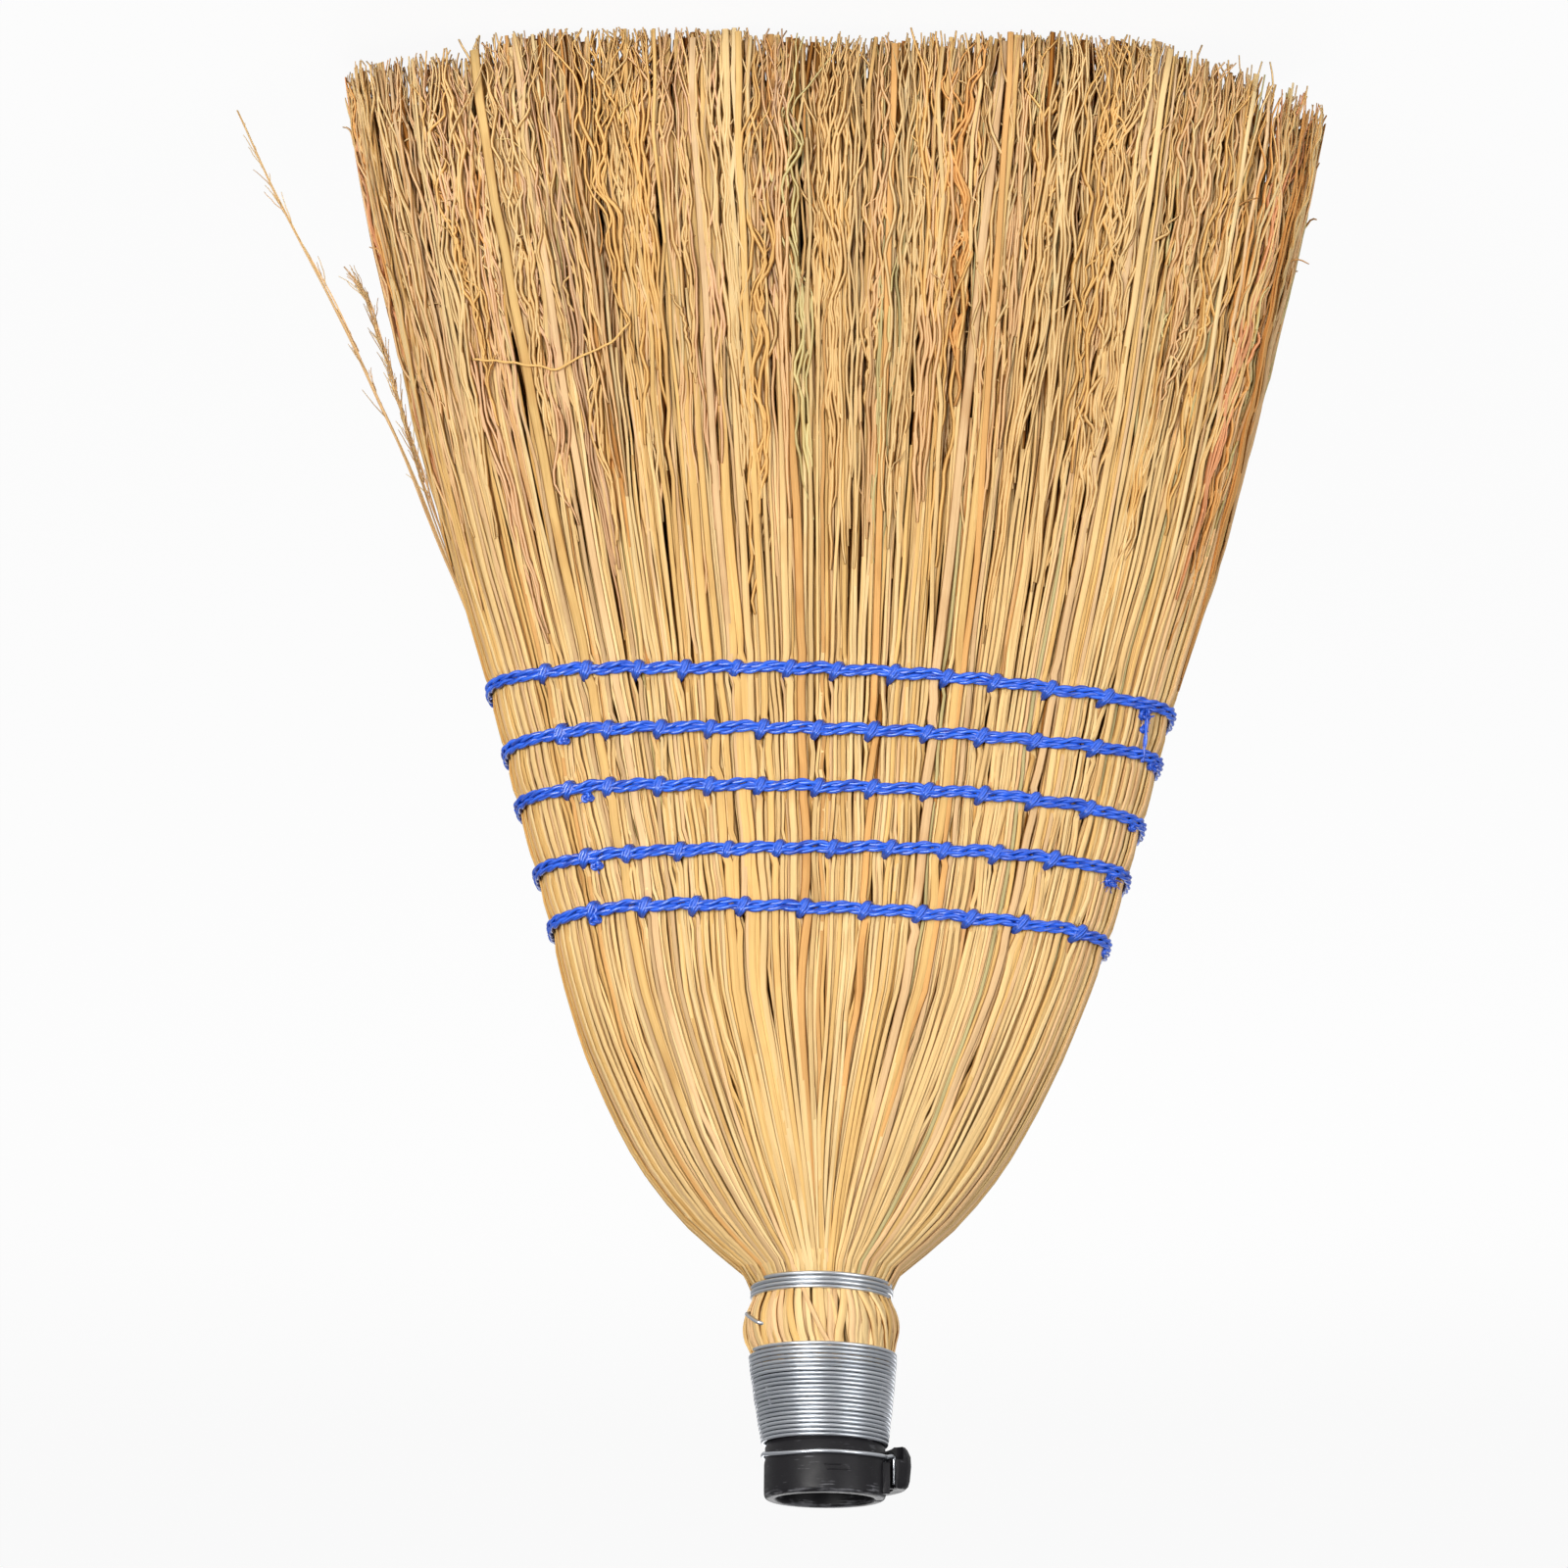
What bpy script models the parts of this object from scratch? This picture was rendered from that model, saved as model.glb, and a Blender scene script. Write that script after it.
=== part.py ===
"""A sewn broom head of sorghum straw with a clamping handle socket.

The head stands on the cut ends of its straw, with the socket's mouth on top. +Z runs up the
handle's axis, X runs across the broom's width and the face with the neat stitches looks to -Y.
"""

import math

import bmesh
import bpy
from mathutils import Vector
from mathutils.geometry import intersect_point_line

MM = 0.001

# The straw body
THROAT_Z = 331.0 * MM
TIP_HALF_WIDTH = 133.0 * MM
TIP_HALF_THICKNESS = 27.0 * MM
FAN_END_SHARE = 0.5
WIDTH_SHARES = (
    (0.0, 1.0),
    (0.15, 0.932),
    (0.35, 0.81),
    (0.5, 0.702),
    (0.63, 0.613),
    (0.73, 0.541),
    (0.83, 0.459),
    (0.9, 0.371),
    (0.95, 0.275),
    (0.98, 0.198),
    (1.0, 0.122),
)
THICKNESS_SHARES = (
    (0.0, 1.0),
    (0.35, 0.93),
    (0.5, 0.91),
    (0.73, 0.92),
    (0.83, 0.9),
    (0.9, 0.84),
    (0.95, 0.745),
    (0.98, 0.66),
    (1.0, 0.602),
)
LEVEL_SHARES = (0.985, 0.965, 0.93, 0.87, 0.78, 0.65)
FLAT_POWER = 2.7
ROUND_POWER = 2.0
FLAT_BELOW_SHARE = 0.8
LEFT_CORNER_RISE = 10.5 * MM
RIGHT_CORNER_RISE = 17.0 * MM
CORNER_START_SHARE = 0.68

# How the straw is laid up: an inner bundle, two side bundles and two facings
INNER_WIDTH_SHARE = 0.55
INNER_THICKNESS_SHARE = 0.42
SIDE_ANGLE = math.radians(38.0)
FACING_STEPS = 8
SIDE_STEPS = 6
BUNDLE_GAP = 0.4 * MM
SEAM_GAP = 0.34 * MM

# Straw ends
STRAW_PITCH = 3.9 * MM
STRAW_ROW_PITCH = 3.5 * MM
STRAW_ROOT_RADIUS = 1.3 * MM
STRAW_TIP_RADIUS = 1.5 * MM
STRAW_MARGIN = 0.2 * MM
STRAW_SINK = 1.5 * MM
STRAW_SIDES = 3

# Loose straws at the left edge
STRAY_RADIUS = 0.6 * MM
STRAY_ROOT_DROP = 5.5 * MM
STRAY_SEAT_GAP = 0.35 * MM
STRAY_STEPS = 14
LONG_STRAY_END_Z = 13.0 * MM
LONG_STRAY_BEND_RADIUS = 415.0 * MM
SHORT_STRAY_END_Z = 57.5 * MM
SHORT_STRAY_BEND_RADIUS = 880.0 * MM
SHORT_STRAY_BACK = 6.0 * MM

# Stitching
ROWS = 5
FIRST_ROW_Z = 178.7 * MM
ROW_PITCH = 15.6 * MM
ROW_TILT_SHARE = 0.018
TWINE_RADIUS = 0.6 * MM
TWINE_SEAT_GAP = 0.45 * MM
BAND_PITCH = 1.75 * MM
BAND_TURNS = 2
STITCH_LINES = 10
STITCH_SPREAD_SHARE = 0.9
STITCH_RISE = 2.45 * MM
STITCH_CREST = 1.1 * MM
STITCH_EMERGE = 2.0 * MM
STITCH_HEIGHT = 2.85 * MM
STITCH_SLANT = 0.35 * MM
STITCH_TUCK = 6.0 * MM
STITCH_TAIL = 2.4 * MM
OVER_SHARES = ((0.25, -1), (0.75, 1))
SLIT_WIDTH = 2.1 * MM
SLIT_TOP_ROOM = 9.0 * MM
CUT_OVERRUN = 6.0 * MM

# Neck
BORE_RADIUS = 12.1 * MM
SLEEVE_WALL = 1.3 * MM
SLEEVE_RADIUS = BORE_RADIUS + SLEEVE_WALL
BULGE_LENGTH = 19.3 * MM
WINDING_TOP_Z = THROAT_Z + BULGE_LENGTH
RING_PACKING = 2.7 * MM
RING_SEAT_RADIUS = SLEEVE_RADIUS + RING_PACKING
RING_LAND = 5.4 * MM
BULGE_CROWN = 2.6 * MM
BULGE_STEPS = 5
BUTT_LENGTH = 13.7 * MM
BUTT_END_Z = WINDING_TOP_Z + BUTT_LENGTH
NECK_POINTS = 28
FLUTE_DEPTH = 0.45 * MM
NECK_LAND_GAP = 0.3 * MM

# Wire
WIRE_RADIUS = 0.3 * MM
WIRE_SEAT_GAP = 0.3 * MM
TURN_POINTS = 14
WINDING_TURNS = 22
WINDING_PITCH = 1.025 * MM
TOP_PACKING = 4.55 * MM
END_PACKING = 1.75 * MM
WINDING_TOP_RADIUS = SLEEVE_RADIUS + TOP_PACKING
WINDING_END_RADIUS = SLEEVE_RADIUS + END_PACKING
RING_TURNS = 4
RING_STEP = 1.0 * MM
RING_START_Z = THROAT_Z + RING_STEP
RING_PITCH = 1.06 * MM
TAIL_ANGLE = math.radians(-28.0)
TAIL_SWEEP = math.radians(17.0)
TAIL_STEP = 11.0 * MM
TAIL_Z = THROAT_Z + TAIL_STEP
TAIL_RISE = 2.6 * MM
TAIL_POINTS = 6

# Handle socket
FLOOR_THICKNESS = 1.6 * MM
SLEEVE_GAP = 0.3 * MM
SLEEVE_CHAMFER = 1.0 * MM
RIB_HEIGHT = 0.5 * MM
RIB_LENGTH = 2.2 * MM
RIB_PITCH = 4.4 * MM
RIBS = 3
RIB_STEP = 11.0 * MM
FIRST_RIB_Z = THROAT_Z + RIB_STEP
COLLAR_WALL = 2.9 * MM
COLLAR_RADIUS = BORE_RADIUS + COLLAR_WALL
COLLAR_LAND = 1.05 * MM
COLLAR_Z = WINDING_TOP_Z + WINDING_TURNS * WINDING_PITCH + COLLAR_LAND
COLLAR_HEIGHT = 12.7 * MM
MOUTH_Z = COLLAR_Z + COLLAR_HEIGHT
MOUTH_ROUND = 1.3 * MM
MOUTH_CHAMFER = 0.5 * MM
LAND_STEP = 0.5 * MM
GROOVE_STEP = 1.8 * MM
GROOVE_Z = COLLAR_Z + GROOVE_STEP
GROOVE_HALF_WIDTH = 0.85 * MM
GROOVE_DEPTH = 0.4 * MM
SOCKET_STEPS = 32
MOUTH_STEPS = 3
SPLIT_WIDTH = 2.0 * MM
SPLIT_CENTRE_Y = 0.4 * MM
LUG_INNER_Y = -3.6 * MM
LUG_WIDTH = 1.6 * MM
LUG_HEIGHT = 0.95 * MM
LUG_CLEARANCE = 1.2 * MM
LUG_END_GAP = 1.0 * MM
LUG_ROUND = 0.3 * MM

# Clamp wire and lever
CLAMP_WIRE_RADIUS = 0.575 * MM
CLAMP_SEAT_GAP = 0.3 * MM
HOOP_STEPS = 30
HOOP_START = math.radians(171.5)
HOOP_END = math.radians(-165.0)
HOOK_LENGTH = 2.2 * MM
PIVOT_REACH = 2.0 * MM
PIVOT_X = -COLLAR_RADIUS - PIVOT_REACH
PIVOT_Y = -1.0 * MM
LEG_BEND = 0.9 * MM
LEG_BEND_STEPS = 3
LEG_END_GAP = 0.9 * MM
LEVER_TOP_STEP = 0.4 * MM
LEVER_END_STEP = 0.5 * MM
LEVER_CLEARANCE = 2.05 * MM
LEVER_TOP_Z = COLLAR_Z + LEVER_TOP_STEP
LEVER_END_Z = MOUTH_Z - LEVER_END_STEP
LEVER_INNER_RADIUS = COLLAR_RADIUS + LEVER_CLEARANCE
LEVER_THICKNESS = 4.1 * MM
LEVER_TIP_THICKNESS = 2.0 * MM
LEVER_LIP = 1.3 * MM
LEVER_START = math.radians(175.5)
LEVER_TIP = math.radians(106.0)
LEVER_STEPS = 9
BARREL_RADIUS = 1.6 * MM
BARREL_MOUTH_START = math.radians(15.0)
BARREL_MOUTH_END = math.radians(255.0)
BARREL_SHOULDER = math.radians(75.0)
BARREL_HEEL = math.radians(200.0)
BARREL_SIDE_STEPS = 2
BARREL_STEPS = 8
HEEL_SHARE = 0.75
HEEL_STEP = 0.45 * MM
NOTCH_RADIUS = 2.3 * MM
NOTCH_STEPS = 16


def clear_scene():
    """Remove every object of the startup scene."""
    for obj in list(bpy.data.objects):
        bpy.data.objects.remove(obj, do_unlink=True)


def finish(name, colour, roughness, metallic=0.0):
    """Make one sub-part's own material."""
    material = bpy.data.materials.new(name + "_finish")
    material.use_nodes = True
    shader = material.node_tree.nodes["Principled BSDF"]
    shader.inputs["Base Color"].default_value = (*colour, 1.0)
    shader.inputs["Roughness"].default_value = roughness
    shader.inputs["Metallic"].default_value = metallic
    return material


def straw_finish(name):
    return finish(name, (0.78, 0.53, 0.24), 0.6)


def twine_finish(name):
    return finish(name, (0.03, 0.1, 0.75), 0.45)


def wire_finish(name):
    return finish(name, (0.6, 0.62, 0.64), 0.3, 1.0)


def plastic_finish(name):
    return finish(name, (0.025, 0.024, 0.026), 0.45)


def link(name, data, material=None):
    """Put an object with this mesh or curve in the scene."""
    obj = bpy.data.objects.new(name, data)
    bpy.context.scene.collection.objects.link(obj)
    if material is not None:
        data.materials.append(material)
    return obj


def as_helper(obj):
    """Keep a cutter or a shape that is fused elsewhere out of the finished part."""
    obj.hide_render = True
    obj.display_type = "WIRE"
    return obj


def shade_round(mesh):
    mesh.shade_smooth()
    mesh.set_sharp_from_angle(angle=math.radians(35.0))


def loft(bm, sections):
    """Skin a closed solid through sections that have the same number of points."""
    rings = [[bm.verts.new(point) for point in section] for section in sections]
    count = len(rings[0])
    for lower, upper in zip(rings, rings[1:]):
        for k in range(count):
            j = (k + 1) % count
            bm.faces.new((lower[k], lower[j], upper[j], upper[k]))
    bm.faces.new(tuple(reversed(rings[0])))
    bm.faces.new(tuple(rings[-1]))


def solid(name, build, material=None):
    """Make an object from a function that fills a bmesh, with its faces pointing out."""
    bm = bmesh.new()
    build(bm)
    bmesh.ops.recalc_face_normals(bm, faces=bm.faces[:])
    bmesh.ops.triangulate(bm, faces=bm.faces[:], quad_method="SHORT_EDGE")
    mesh = bpy.data.meshes.new(name)
    bm.to_mesh(mesh)
    bm.free()
    shade_round(mesh)
    return link(name, mesh, material)


def turned(name, profile, steps, material=None):
    """Revolve a profile of (radius, height) points about Z. Points on the axis close it."""

    def build(bm):
        rows = []
        for radius, height in profile:
            if radius == 0:
                rows.append([bm.verts.new((0, 0, height))])
                continue
            row = []
            for k in range(steps):
                turn = 2 * math.pi * k / steps
                row.append(bm.verts.new((radius * math.cos(turn), radius * math.sin(turn), height)))
            rows.append(row)
        for first, second in zip(rows, rows[1:]):
            for k in range(steps):
                j = (k + 1) % steps
                corners = [first[k % len(first)], first[j % len(first)]]
                corners += [second[j % len(second)], second[k % len(second)]]
                bm.faces.new(tuple(dict.fromkeys(corners)))

    return solid(name, build, material)


def cut(obj, other, operation="DIFFERENCE"):
    """Cut a helper away from an object, or fuse it on."""
    modifier = obj.modifiers.new(other.name, "BOOLEAN")
    modifier.operation = operation
    modifier.solver = "EXACT"
    modifier.object = as_helper(other)


def tube(name, points, radius, bevel_resolution, material):
    """Make a wire or a twine as a bevelled curve with closed ends."""
    curve = bpy.data.curves.new(name, "CURVE")
    curve.dimensions = "3D"
    curve.bevel_depth = radius
    curve.bevel_resolution = bevel_resolution
    curve.use_fill_caps = True
    spline = curve.splines.new("POLY")
    spline.points.add(len(points) - 1)
    for k, point in enumerate(points):
        spline.points[k].co = (*point, 1.0)
    return link(name, curve, material)


def least_gap(points, radius):
    """The least clear distance between two stretches of a tube that aren't neighbours."""
    along = [0.0]
    for first, second in zip(points, points[1:]):
        along.append(along[-1] + (second - first).length)
    away = math.tau * radius
    least = math.inf
    for i, point in enumerate(points):
        for j in range(len(points) - 1):
            if min(abs(along[j] - along[i]), abs(along[j + 1] - along[i])) < away:
                continue
            nearest, share = intersect_point_line(point, points[j], points[j + 1])
            if share < 0:
                nearest = points[j]
            if share > 1:
                nearest = points[j + 1]
            least = min(least, (point - nearest).length)
    return least - 2 * radius


def report_gap(name, points, radius):
    print(f"{name}: least gap to itself {least_gap(points, radius) / MM:.2f} mm")


def extend_ends(points, length):
    """Let a tube run straight on at both its ends."""
    first = points[0] + (points[0] - points[1]).normalized() * length
    last = points[-1] + (points[-1] - points[-2]).normalized() * length
    return [first, *points, last]


# Outline of the straw body


def smooth_through(table, place):
    """Read a smooth curve through a table of (place, value) pairs."""
    slopes = []
    for k in range(len(table)):
        before = table[max(k - 1, 0)]
        after = table[min(k + 1, len(table) - 1)]
        slopes.append((after[1] - before[1]) / (after[0] - before[0]))
    k = 0
    while k < len(table) - 2 and place > table[k + 1][0]:
        k += 1
    (start, low), (end, high) = table[k], table[k + 1]
    span = end - start
    t = (place - start) / span
    bend_low = (2 * t**3 - 3 * t**2 + 1) * low + (t**3 - 2 * t**2 + t) * span * slopes[k]
    bend_high = (3 * t**2 - 2 * t**3) * high + (t**3 - t**2) * span * slopes[k + 1]
    return bend_low + bend_high


def half_width(z):
    return TIP_HALF_WIDTH * smooth_through(WIDTH_SHARES, z / THROAT_Z)


def half_thickness(z):
    return TIP_HALF_THICKNESS * smooth_through(THICKNESS_SHARES, z / THROAT_Z)


def power_at(z):
    """The section is a flat oval in the sewn part and a circle at the throat."""
    rise = (z / THROAT_Z - FLAT_BELOW_SHARE) / (1.0 - FLAT_BELOW_SHARE)
    rise = min(max(rise, 0.0), 1.0)
    return FLAT_POWER + (ROUND_POWER - FLAT_POWER) * rise


def oval_point(turn, wide, thick, power, z):
    c = math.cos(turn)
    s = math.sin(turn)
    x = math.copysign(abs(c) ** (2 / power), c) * wide
    y = math.copysign(abs(s) ** (2 / power), s) * thick
    return Vector((x, y, z))


def body_point(turn, z):
    return oval_point(turn, half_width(z), half_thickness(z), power_at(z), z)


def inner_point(turn, z, gap):
    wide = half_width(z) * INNER_WIDTH_SHARE + gap
    thick = half_thickness(z) * INNER_THICKNESS_SHARE + gap
    return oval_point(turn, wide, thick, power_at(z), z)


def face_distance(x, z):
    """How far the body's face lies from the middle plane at this x."""
    share = min(abs(x) / half_width(z), 1.0)
    return half_thickness(z) * (1 - share ** power_at(z)) ** (1 / power_at(z))


def turns_between(start, end, steps):
    return [start + (end - start) * k / steps for k in range(steps + 1)]


LEFT_TURNS = turns_between(-SIDE_ANGLE, SIDE_ANGLE, SIDE_STEPS)
BACK_TURNS = turns_between(SIDE_ANGLE, math.pi - SIDE_ANGLE, FACING_STEPS)
RIGHT_TURNS = turns_between(math.pi - SIDE_ANGLE, math.pi + SIDE_ANGLE, SIDE_STEPS)
FRONT_TURNS = turns_between(math.pi + SIDE_ANGLE, math.tau - SIDE_ANGLE, FACING_STEPS)
RIM_TURNS = LEFT_TURNS[:-1] + BACK_TURNS[:-1] + RIGHT_TURNS[:-1] + FRONT_TURNS[:-1]
FAN_END_Z = THROAT_Z * FAN_END_SHARE
LAST_ROW_Z = FIRST_ROW_Z + ROW_PITCH * (ROWS - 1)
SLIT_TOP_Z = LAST_ROW_Z + SLIT_TOP_ROOM


def body_levels():
    """Heights of the lofted sections, from the throat down to where the straw is loose."""
    return [THROAT_Z - SLEEVE_GAP] + [THROAT_Z * share for share in LEVEL_SHARES] + [FAN_END_Z]


def sector_section(turns, z):
    """One side bundle's or facing's outline at this height, a seam's half width inside its sector."""
    outer = [body_point(turn, z) for turn in turns]
    inner = [inner_point(turn, z, BUNDLE_GAP) for turn in turns[::2]]
    for end, toward in ((0, 1), (-1, -2)):
        seam = (outer[end] - inner[end]).normalized()
        across = Vector((-seam.y, seam.x, 0))
        if across.dot(outer[toward] - outer[end]) < 0:
            across.negate()
        outer[end] = outer[end] + across * SEAM_GAP / 2
        inner[end] = inner[end] + across * SEAM_GAP / 2
    return outer + inner[::-1]


def inner_section(z):
    """The inner bundle's outline at this height."""
    turns = LEFT_TURNS[::2][:-1] + BACK_TURNS[::2][:-1] + RIGHT_TURNS[::2][:-1] + FRONT_TURNS[::2][:-1]
    return [inner_point(turn, z, 0) for turn in turns]


# Stitch lines


def stitch_share(line):
    """A stitch line's place across the width, from -1 to 1."""
    return STITCH_SPREAD_SHARE * (2 * line - STITCH_LINES + 1) / STITCH_LINES


def stitch_x(line, z):
    """A stitch line runs straight from the loose straw to above the last row."""
    low = half_width(FAN_END_Z)
    high = half_width(SLIT_TOP_Z)
    t = (z - FAN_END_Z) / (SLIT_TOP_Z - FAN_END_Z)
    return stitch_share(line) * (low + (high - low) * t)


def slit_cutter(name):
    """The gaps that the stitches draw open between the gathered bundles."""

    def build(bm):
        reach = TIP_HALF_THICKNESS + CUT_OVERRUN
        for line in range(STITCH_LINES):
            sections = []
            for z in (FAN_END_Z - CUT_OVERRUN, SLIT_TOP_Z):
                low = stitch_x(line, z) - SLIT_WIDTH / 2
                high = stitch_x(line, z) + SLIT_WIDTH / 2
                corners = ((low, -reach), (high, -reach), (high, reach), (low, reach))
                sections.append([Vector((x, y, z)) for x, y in corners])
            loft(bm, sections)

    return solid(name, build)


# Straw ends


def tip_height(x):
    """The cut ends are level in the middle and rise towards both corners."""
    start = TIP_HALF_WIDTH * CORNER_START_SHARE
    t = (abs(x) - start) / (TIP_HALF_WIDTH - start)
    t = min(max(t, 0.0), 1.0)
    rise = LEFT_CORNER_RISE if x > 0 else RIGHT_CORNER_RISE
    return rise * t * t * (3 - 2 * t)


def clear_inside(point, outline, margin):
    """Whether a point lies inside an outline and no nearer than the margin to its edges."""
    inside = False
    for first, second in zip(outline, outline[1:] + outline[:1]):
        if (first.y > point.y) != (second.y > point.y):
            reach = (point.y - first.y) / (second.y - first.y)
            if point.x < first.x + (second.x - first.x) * reach:
                inside = not inside
        nearest, share = intersect_point_line(point, first, second)
        if share < 0:
            nearest = first
        if share > 1:
            nearest = second
        if (nearest - point).length < margin:
            return False
    return inside


def straw_places(outline):
    """Where straws leave a bundle: a lattice on its end, clear of its edges and of the slits."""
    margin = STRAW_ROOT_RADIUS + STRAW_MARGIN
    places = []
    columns = math.ceil(half_width(FAN_END_Z) / STRAW_PITCH)
    rows = math.ceil(half_thickness(FAN_END_Z) / STRAW_ROW_PITCH)
    for row in range(-rows, rows + 1):
        for column in range(-columns, columns + 1):
            x = (column + (row % 2) / 2) * STRAW_PITCH
            place = Vector((x, row * STRAW_ROW_PITCH, FAN_END_Z))
            gaps = [abs(x - stitch_x(line, FAN_END_Z)) for line in range(STITCH_LINES)]
            if min(gaps) < SLIT_WIDTH / 2 + margin:
                continue
            if clear_inside(place, outline, margin):
                places.append((place, (row + column) % 2))
    return places


def spread_x(x):
    """Where a straw would stand if the stitches left no gaps: each gathered bundle spreads again."""
    lines = [stitch_x(line, FAN_END_Z) for line in range(STITCH_LINES)]
    for low, high in zip(lines, lines[1:]):
        if low < x < high:
            middle = (low + high) / 2
            return middle + (x - middle) * (high - low) / (high - low - SLIT_WIDTH)
    return x


def outer_root(extent, pitch):
    """How far out the outermost straws leave the bundles, for a body of this half extent."""
    return extent - STRAW_ROOT_RADIUS - STRAW_MARGIN - pitch / 2


def straw_ends(name, outline):
    """The loose straws of one bundle. They fan out, never cross and end in a flat cut."""
    places = straw_places(outline)
    widen = (TIP_HALF_WIDTH - STRAW_TIP_RADIUS) / outer_root(half_width(FAN_END_Z), STRAW_PITCH)
    deepen = (TIP_HALF_THICKNESS - STRAW_TIP_RADIUS) / outer_root(half_thickness(FAN_END_Z), STRAW_ROW_PITCH)

    def build(bm):
        for place, flipped in places:
            tip_x = spread_x(place.x) * widen
            tip_y = place.y * deepen
            end_z = tip_height(tip_x)
            sections = []
            for z in (FAN_END_Z + STRAW_SINK, end_z):
                t = (FAN_END_Z - z) / FAN_END_Z
                radius = STRAW_ROOT_RADIUS + (STRAW_TIP_RADIUS - STRAW_ROOT_RADIUS) * max(t, 0)
                centre = Vector((place.x + (tip_x - place.x) * t, place.y + (tip_y - place.y) * t, z))
                ring = []
                for side in range(STRAW_SIDES):
                    turn = math.tau * side / STRAW_SIDES + math.pi / 2 + math.pi * flipped
                    ring.append(centre + Vector((math.cos(turn), math.sin(turn), 0)) * radius)
                sections.append(ring)
            loft(bm, sections)

    print(f"{name}: {len(places)} straws")
    return solid(name, build)


def straw_bundle(name, section_at):
    """A bundle from the throat through the sewn part, slit along the stitches, with its loose ends."""
    sections = [section_at(z) for z in body_levels()]
    bundle = solid(name, lambda bm: loft(bm, sections), straw_finish(name))
    cut(bundle, slit_cutter(name + "_slits"))
    cut(bundle, straw_ends(name + "_ends", sections[-1]), "UNION")
    return bundle


def stray_straw(name, end_z, bend_radius, back):
    """A straw that has sprung loose at the left edge, bending away from the outline."""
    root_z = FIRST_ROW_Z - STRAY_ROOT_DROP
    points = []
    for k in range(STRAY_STEPS + 1):
        z = root_z + (end_z - root_z) * k / STRAY_STEPS
        edge = half_width(z) if back == 0 else max(body_edge_at(back, z), half_width(z) - back)
        lean = (root_z - z) ** 2 / (2 * bend_radius)
        points.append(Vector((edge + lean + STRAY_SEAT_GAP + STRAY_RADIUS, back, z)))
    return tube(name, points, STRAY_RADIUS, 0, straw_finish(name))


def body_edge_at(y, z):
    """The body's half width where the plane at this y cuts it."""
    share = min(abs(y) / half_thickness(z), 1.0)
    return half_width(z) * (1 - share ** power_at(z)) ** (1 / power_at(z))


# Stitching


def row_height(row, x):
    """A row's middle height. The rows run a little downhill to the left."""
    return FIRST_ROW_Z + ROW_PITCH * row - ROW_TILT_SHARE * x


def climb(x, z, front):
    """How far a band has climbed at this x, in turns: half a turn on each face."""
    across = (x / half_width(z) + 1) / 2
    if front:
        return across / 2
    return 1 - across / 2


def offset_outline(outline, distance):
    """Move a convex outline outwards by a distance, square to each of its edges."""
    moved = []
    count = len(outline)
    for k in range(count):
        before = (outline[k] - outline[k - 1]).normalized()
        after = (outline[(k + 1) % count] - outline[k]).normalized()
        normal_before = Vector((before.y, -before.x, 0))
        normal_after = Vector((after.y, -after.x, 0))
        miter = (normal_before + normal_after).normalized()
        moved.append(outline[k] + miter * distance / miter.dot(normal_before))
    return moved


def band_points(row):
    """A twine laid twice round the broom, with both ends at the right edge."""
    distance = TWINE_SEAT_GAP + TWINE_RADIUS
    count = len(RIM_TURNS)
    start = min(range(count), key=lambda k: abs(RIM_TURNS[k] - math.pi))
    points = []
    for k in range(BAND_TURNS * count + 1):
        place = (start + k) % count
        turn = RIM_TURNS[place]
        x = body_point(turn, row_height(row, 0)).x
        climbed = climb(x, row_height(row, x), math.sin(turn) < 0) if k % count else 0.0
        z = row_height(row, x) + BAND_PITCH * (k // count + climbed - BAND_TURNS / 2)
        outline = offset_outline([body_point(rim_turn, z) for rim_turn in RIM_TURNS], distance)
        points.append(outline[place])
    return points


def band_middle(row, x, front):
    """The height halfway between the two turns of a band."""
    z = row_height(row, x)
    return z + BAND_PITCH * (climb(x, z, front) - BAND_TURNS / 4)


def stitch_points(row):
    """The sewing twine: over the front of the band in each slit, through, and on behind the back."""
    points = []
    for line in range(STITCH_LINES):
        row_z = row_height(row, 0)
        x = stitch_x(line, row_z)
        middle = band_middle(row, x, True)
        x_above = stitch_x(line, middle + STITCH_RISE)
        x_below = stitch_x(line, middle - STITCH_RISE)
        face = face_distance(x, middle) + STITCH_EMERGE
        crest = face_distance(x, middle) + STITCH_HEIGHT
        points.append(Vector((x_above, -face, middle + STITCH_RISE)))
        points.append(Vector((x - STITCH_SLANT, -crest, middle + STITCH_CREST)))
        points.append(Vector((x + STITCH_SLANT, -crest, middle - STITCH_CREST)))
        points.append(Vector((x_below, -face, middle - STITCH_RISE)))
        back = band_middle(row, x, False)
        points.append(Vector((stitch_x(line, back - STITCH_RISE), face, back - STITCH_RISE)))
        if line == STITCH_LINES - 1:
            break
        after = stitch_x(line + 1, row_z)
        for share, side in OVER_SHARES:
            over_x = x + (after - x) * share
            over_z = band_middle(row, over_x, False)
            over_y = face_distance(over_x, over_z) + STITCH_HEIGHT
            points.append(Vector((over_x, over_y, over_z + side * STITCH_CREST)))
        back = band_middle(row, after, False)
        face = face_distance(after, back) + STITCH_EMERGE
        points.append(Vector((stitch_x(line + 1, back + STITCH_RISE), face, back + STITCH_RISE)))
    lead = points[0] + Vector((0, STITCH_TUCK, 0))
    tail = points[-1] + Vector((0, STITCH_TAIL, 0))
    return [lead, *points, tail]


# Neck and wire


def winding_radius(z):
    """The winding's middle line draws in towards the collar."""
    length = WINDING_PITCH * WINDING_TURNS
    t = (z - WINDING_TOP_Z) / length
    return WINDING_TOP_RADIUS + (WINDING_END_RADIUS - WINDING_TOP_RADIUS) * t


def under_wire(z):
    """The radius that the faceted winding leaves free inside itself."""
    return winding_radius(z) * math.cos(math.pi / TURN_POINTS) - WIRE_RADIUS - WIRE_SEAT_GAP


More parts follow.
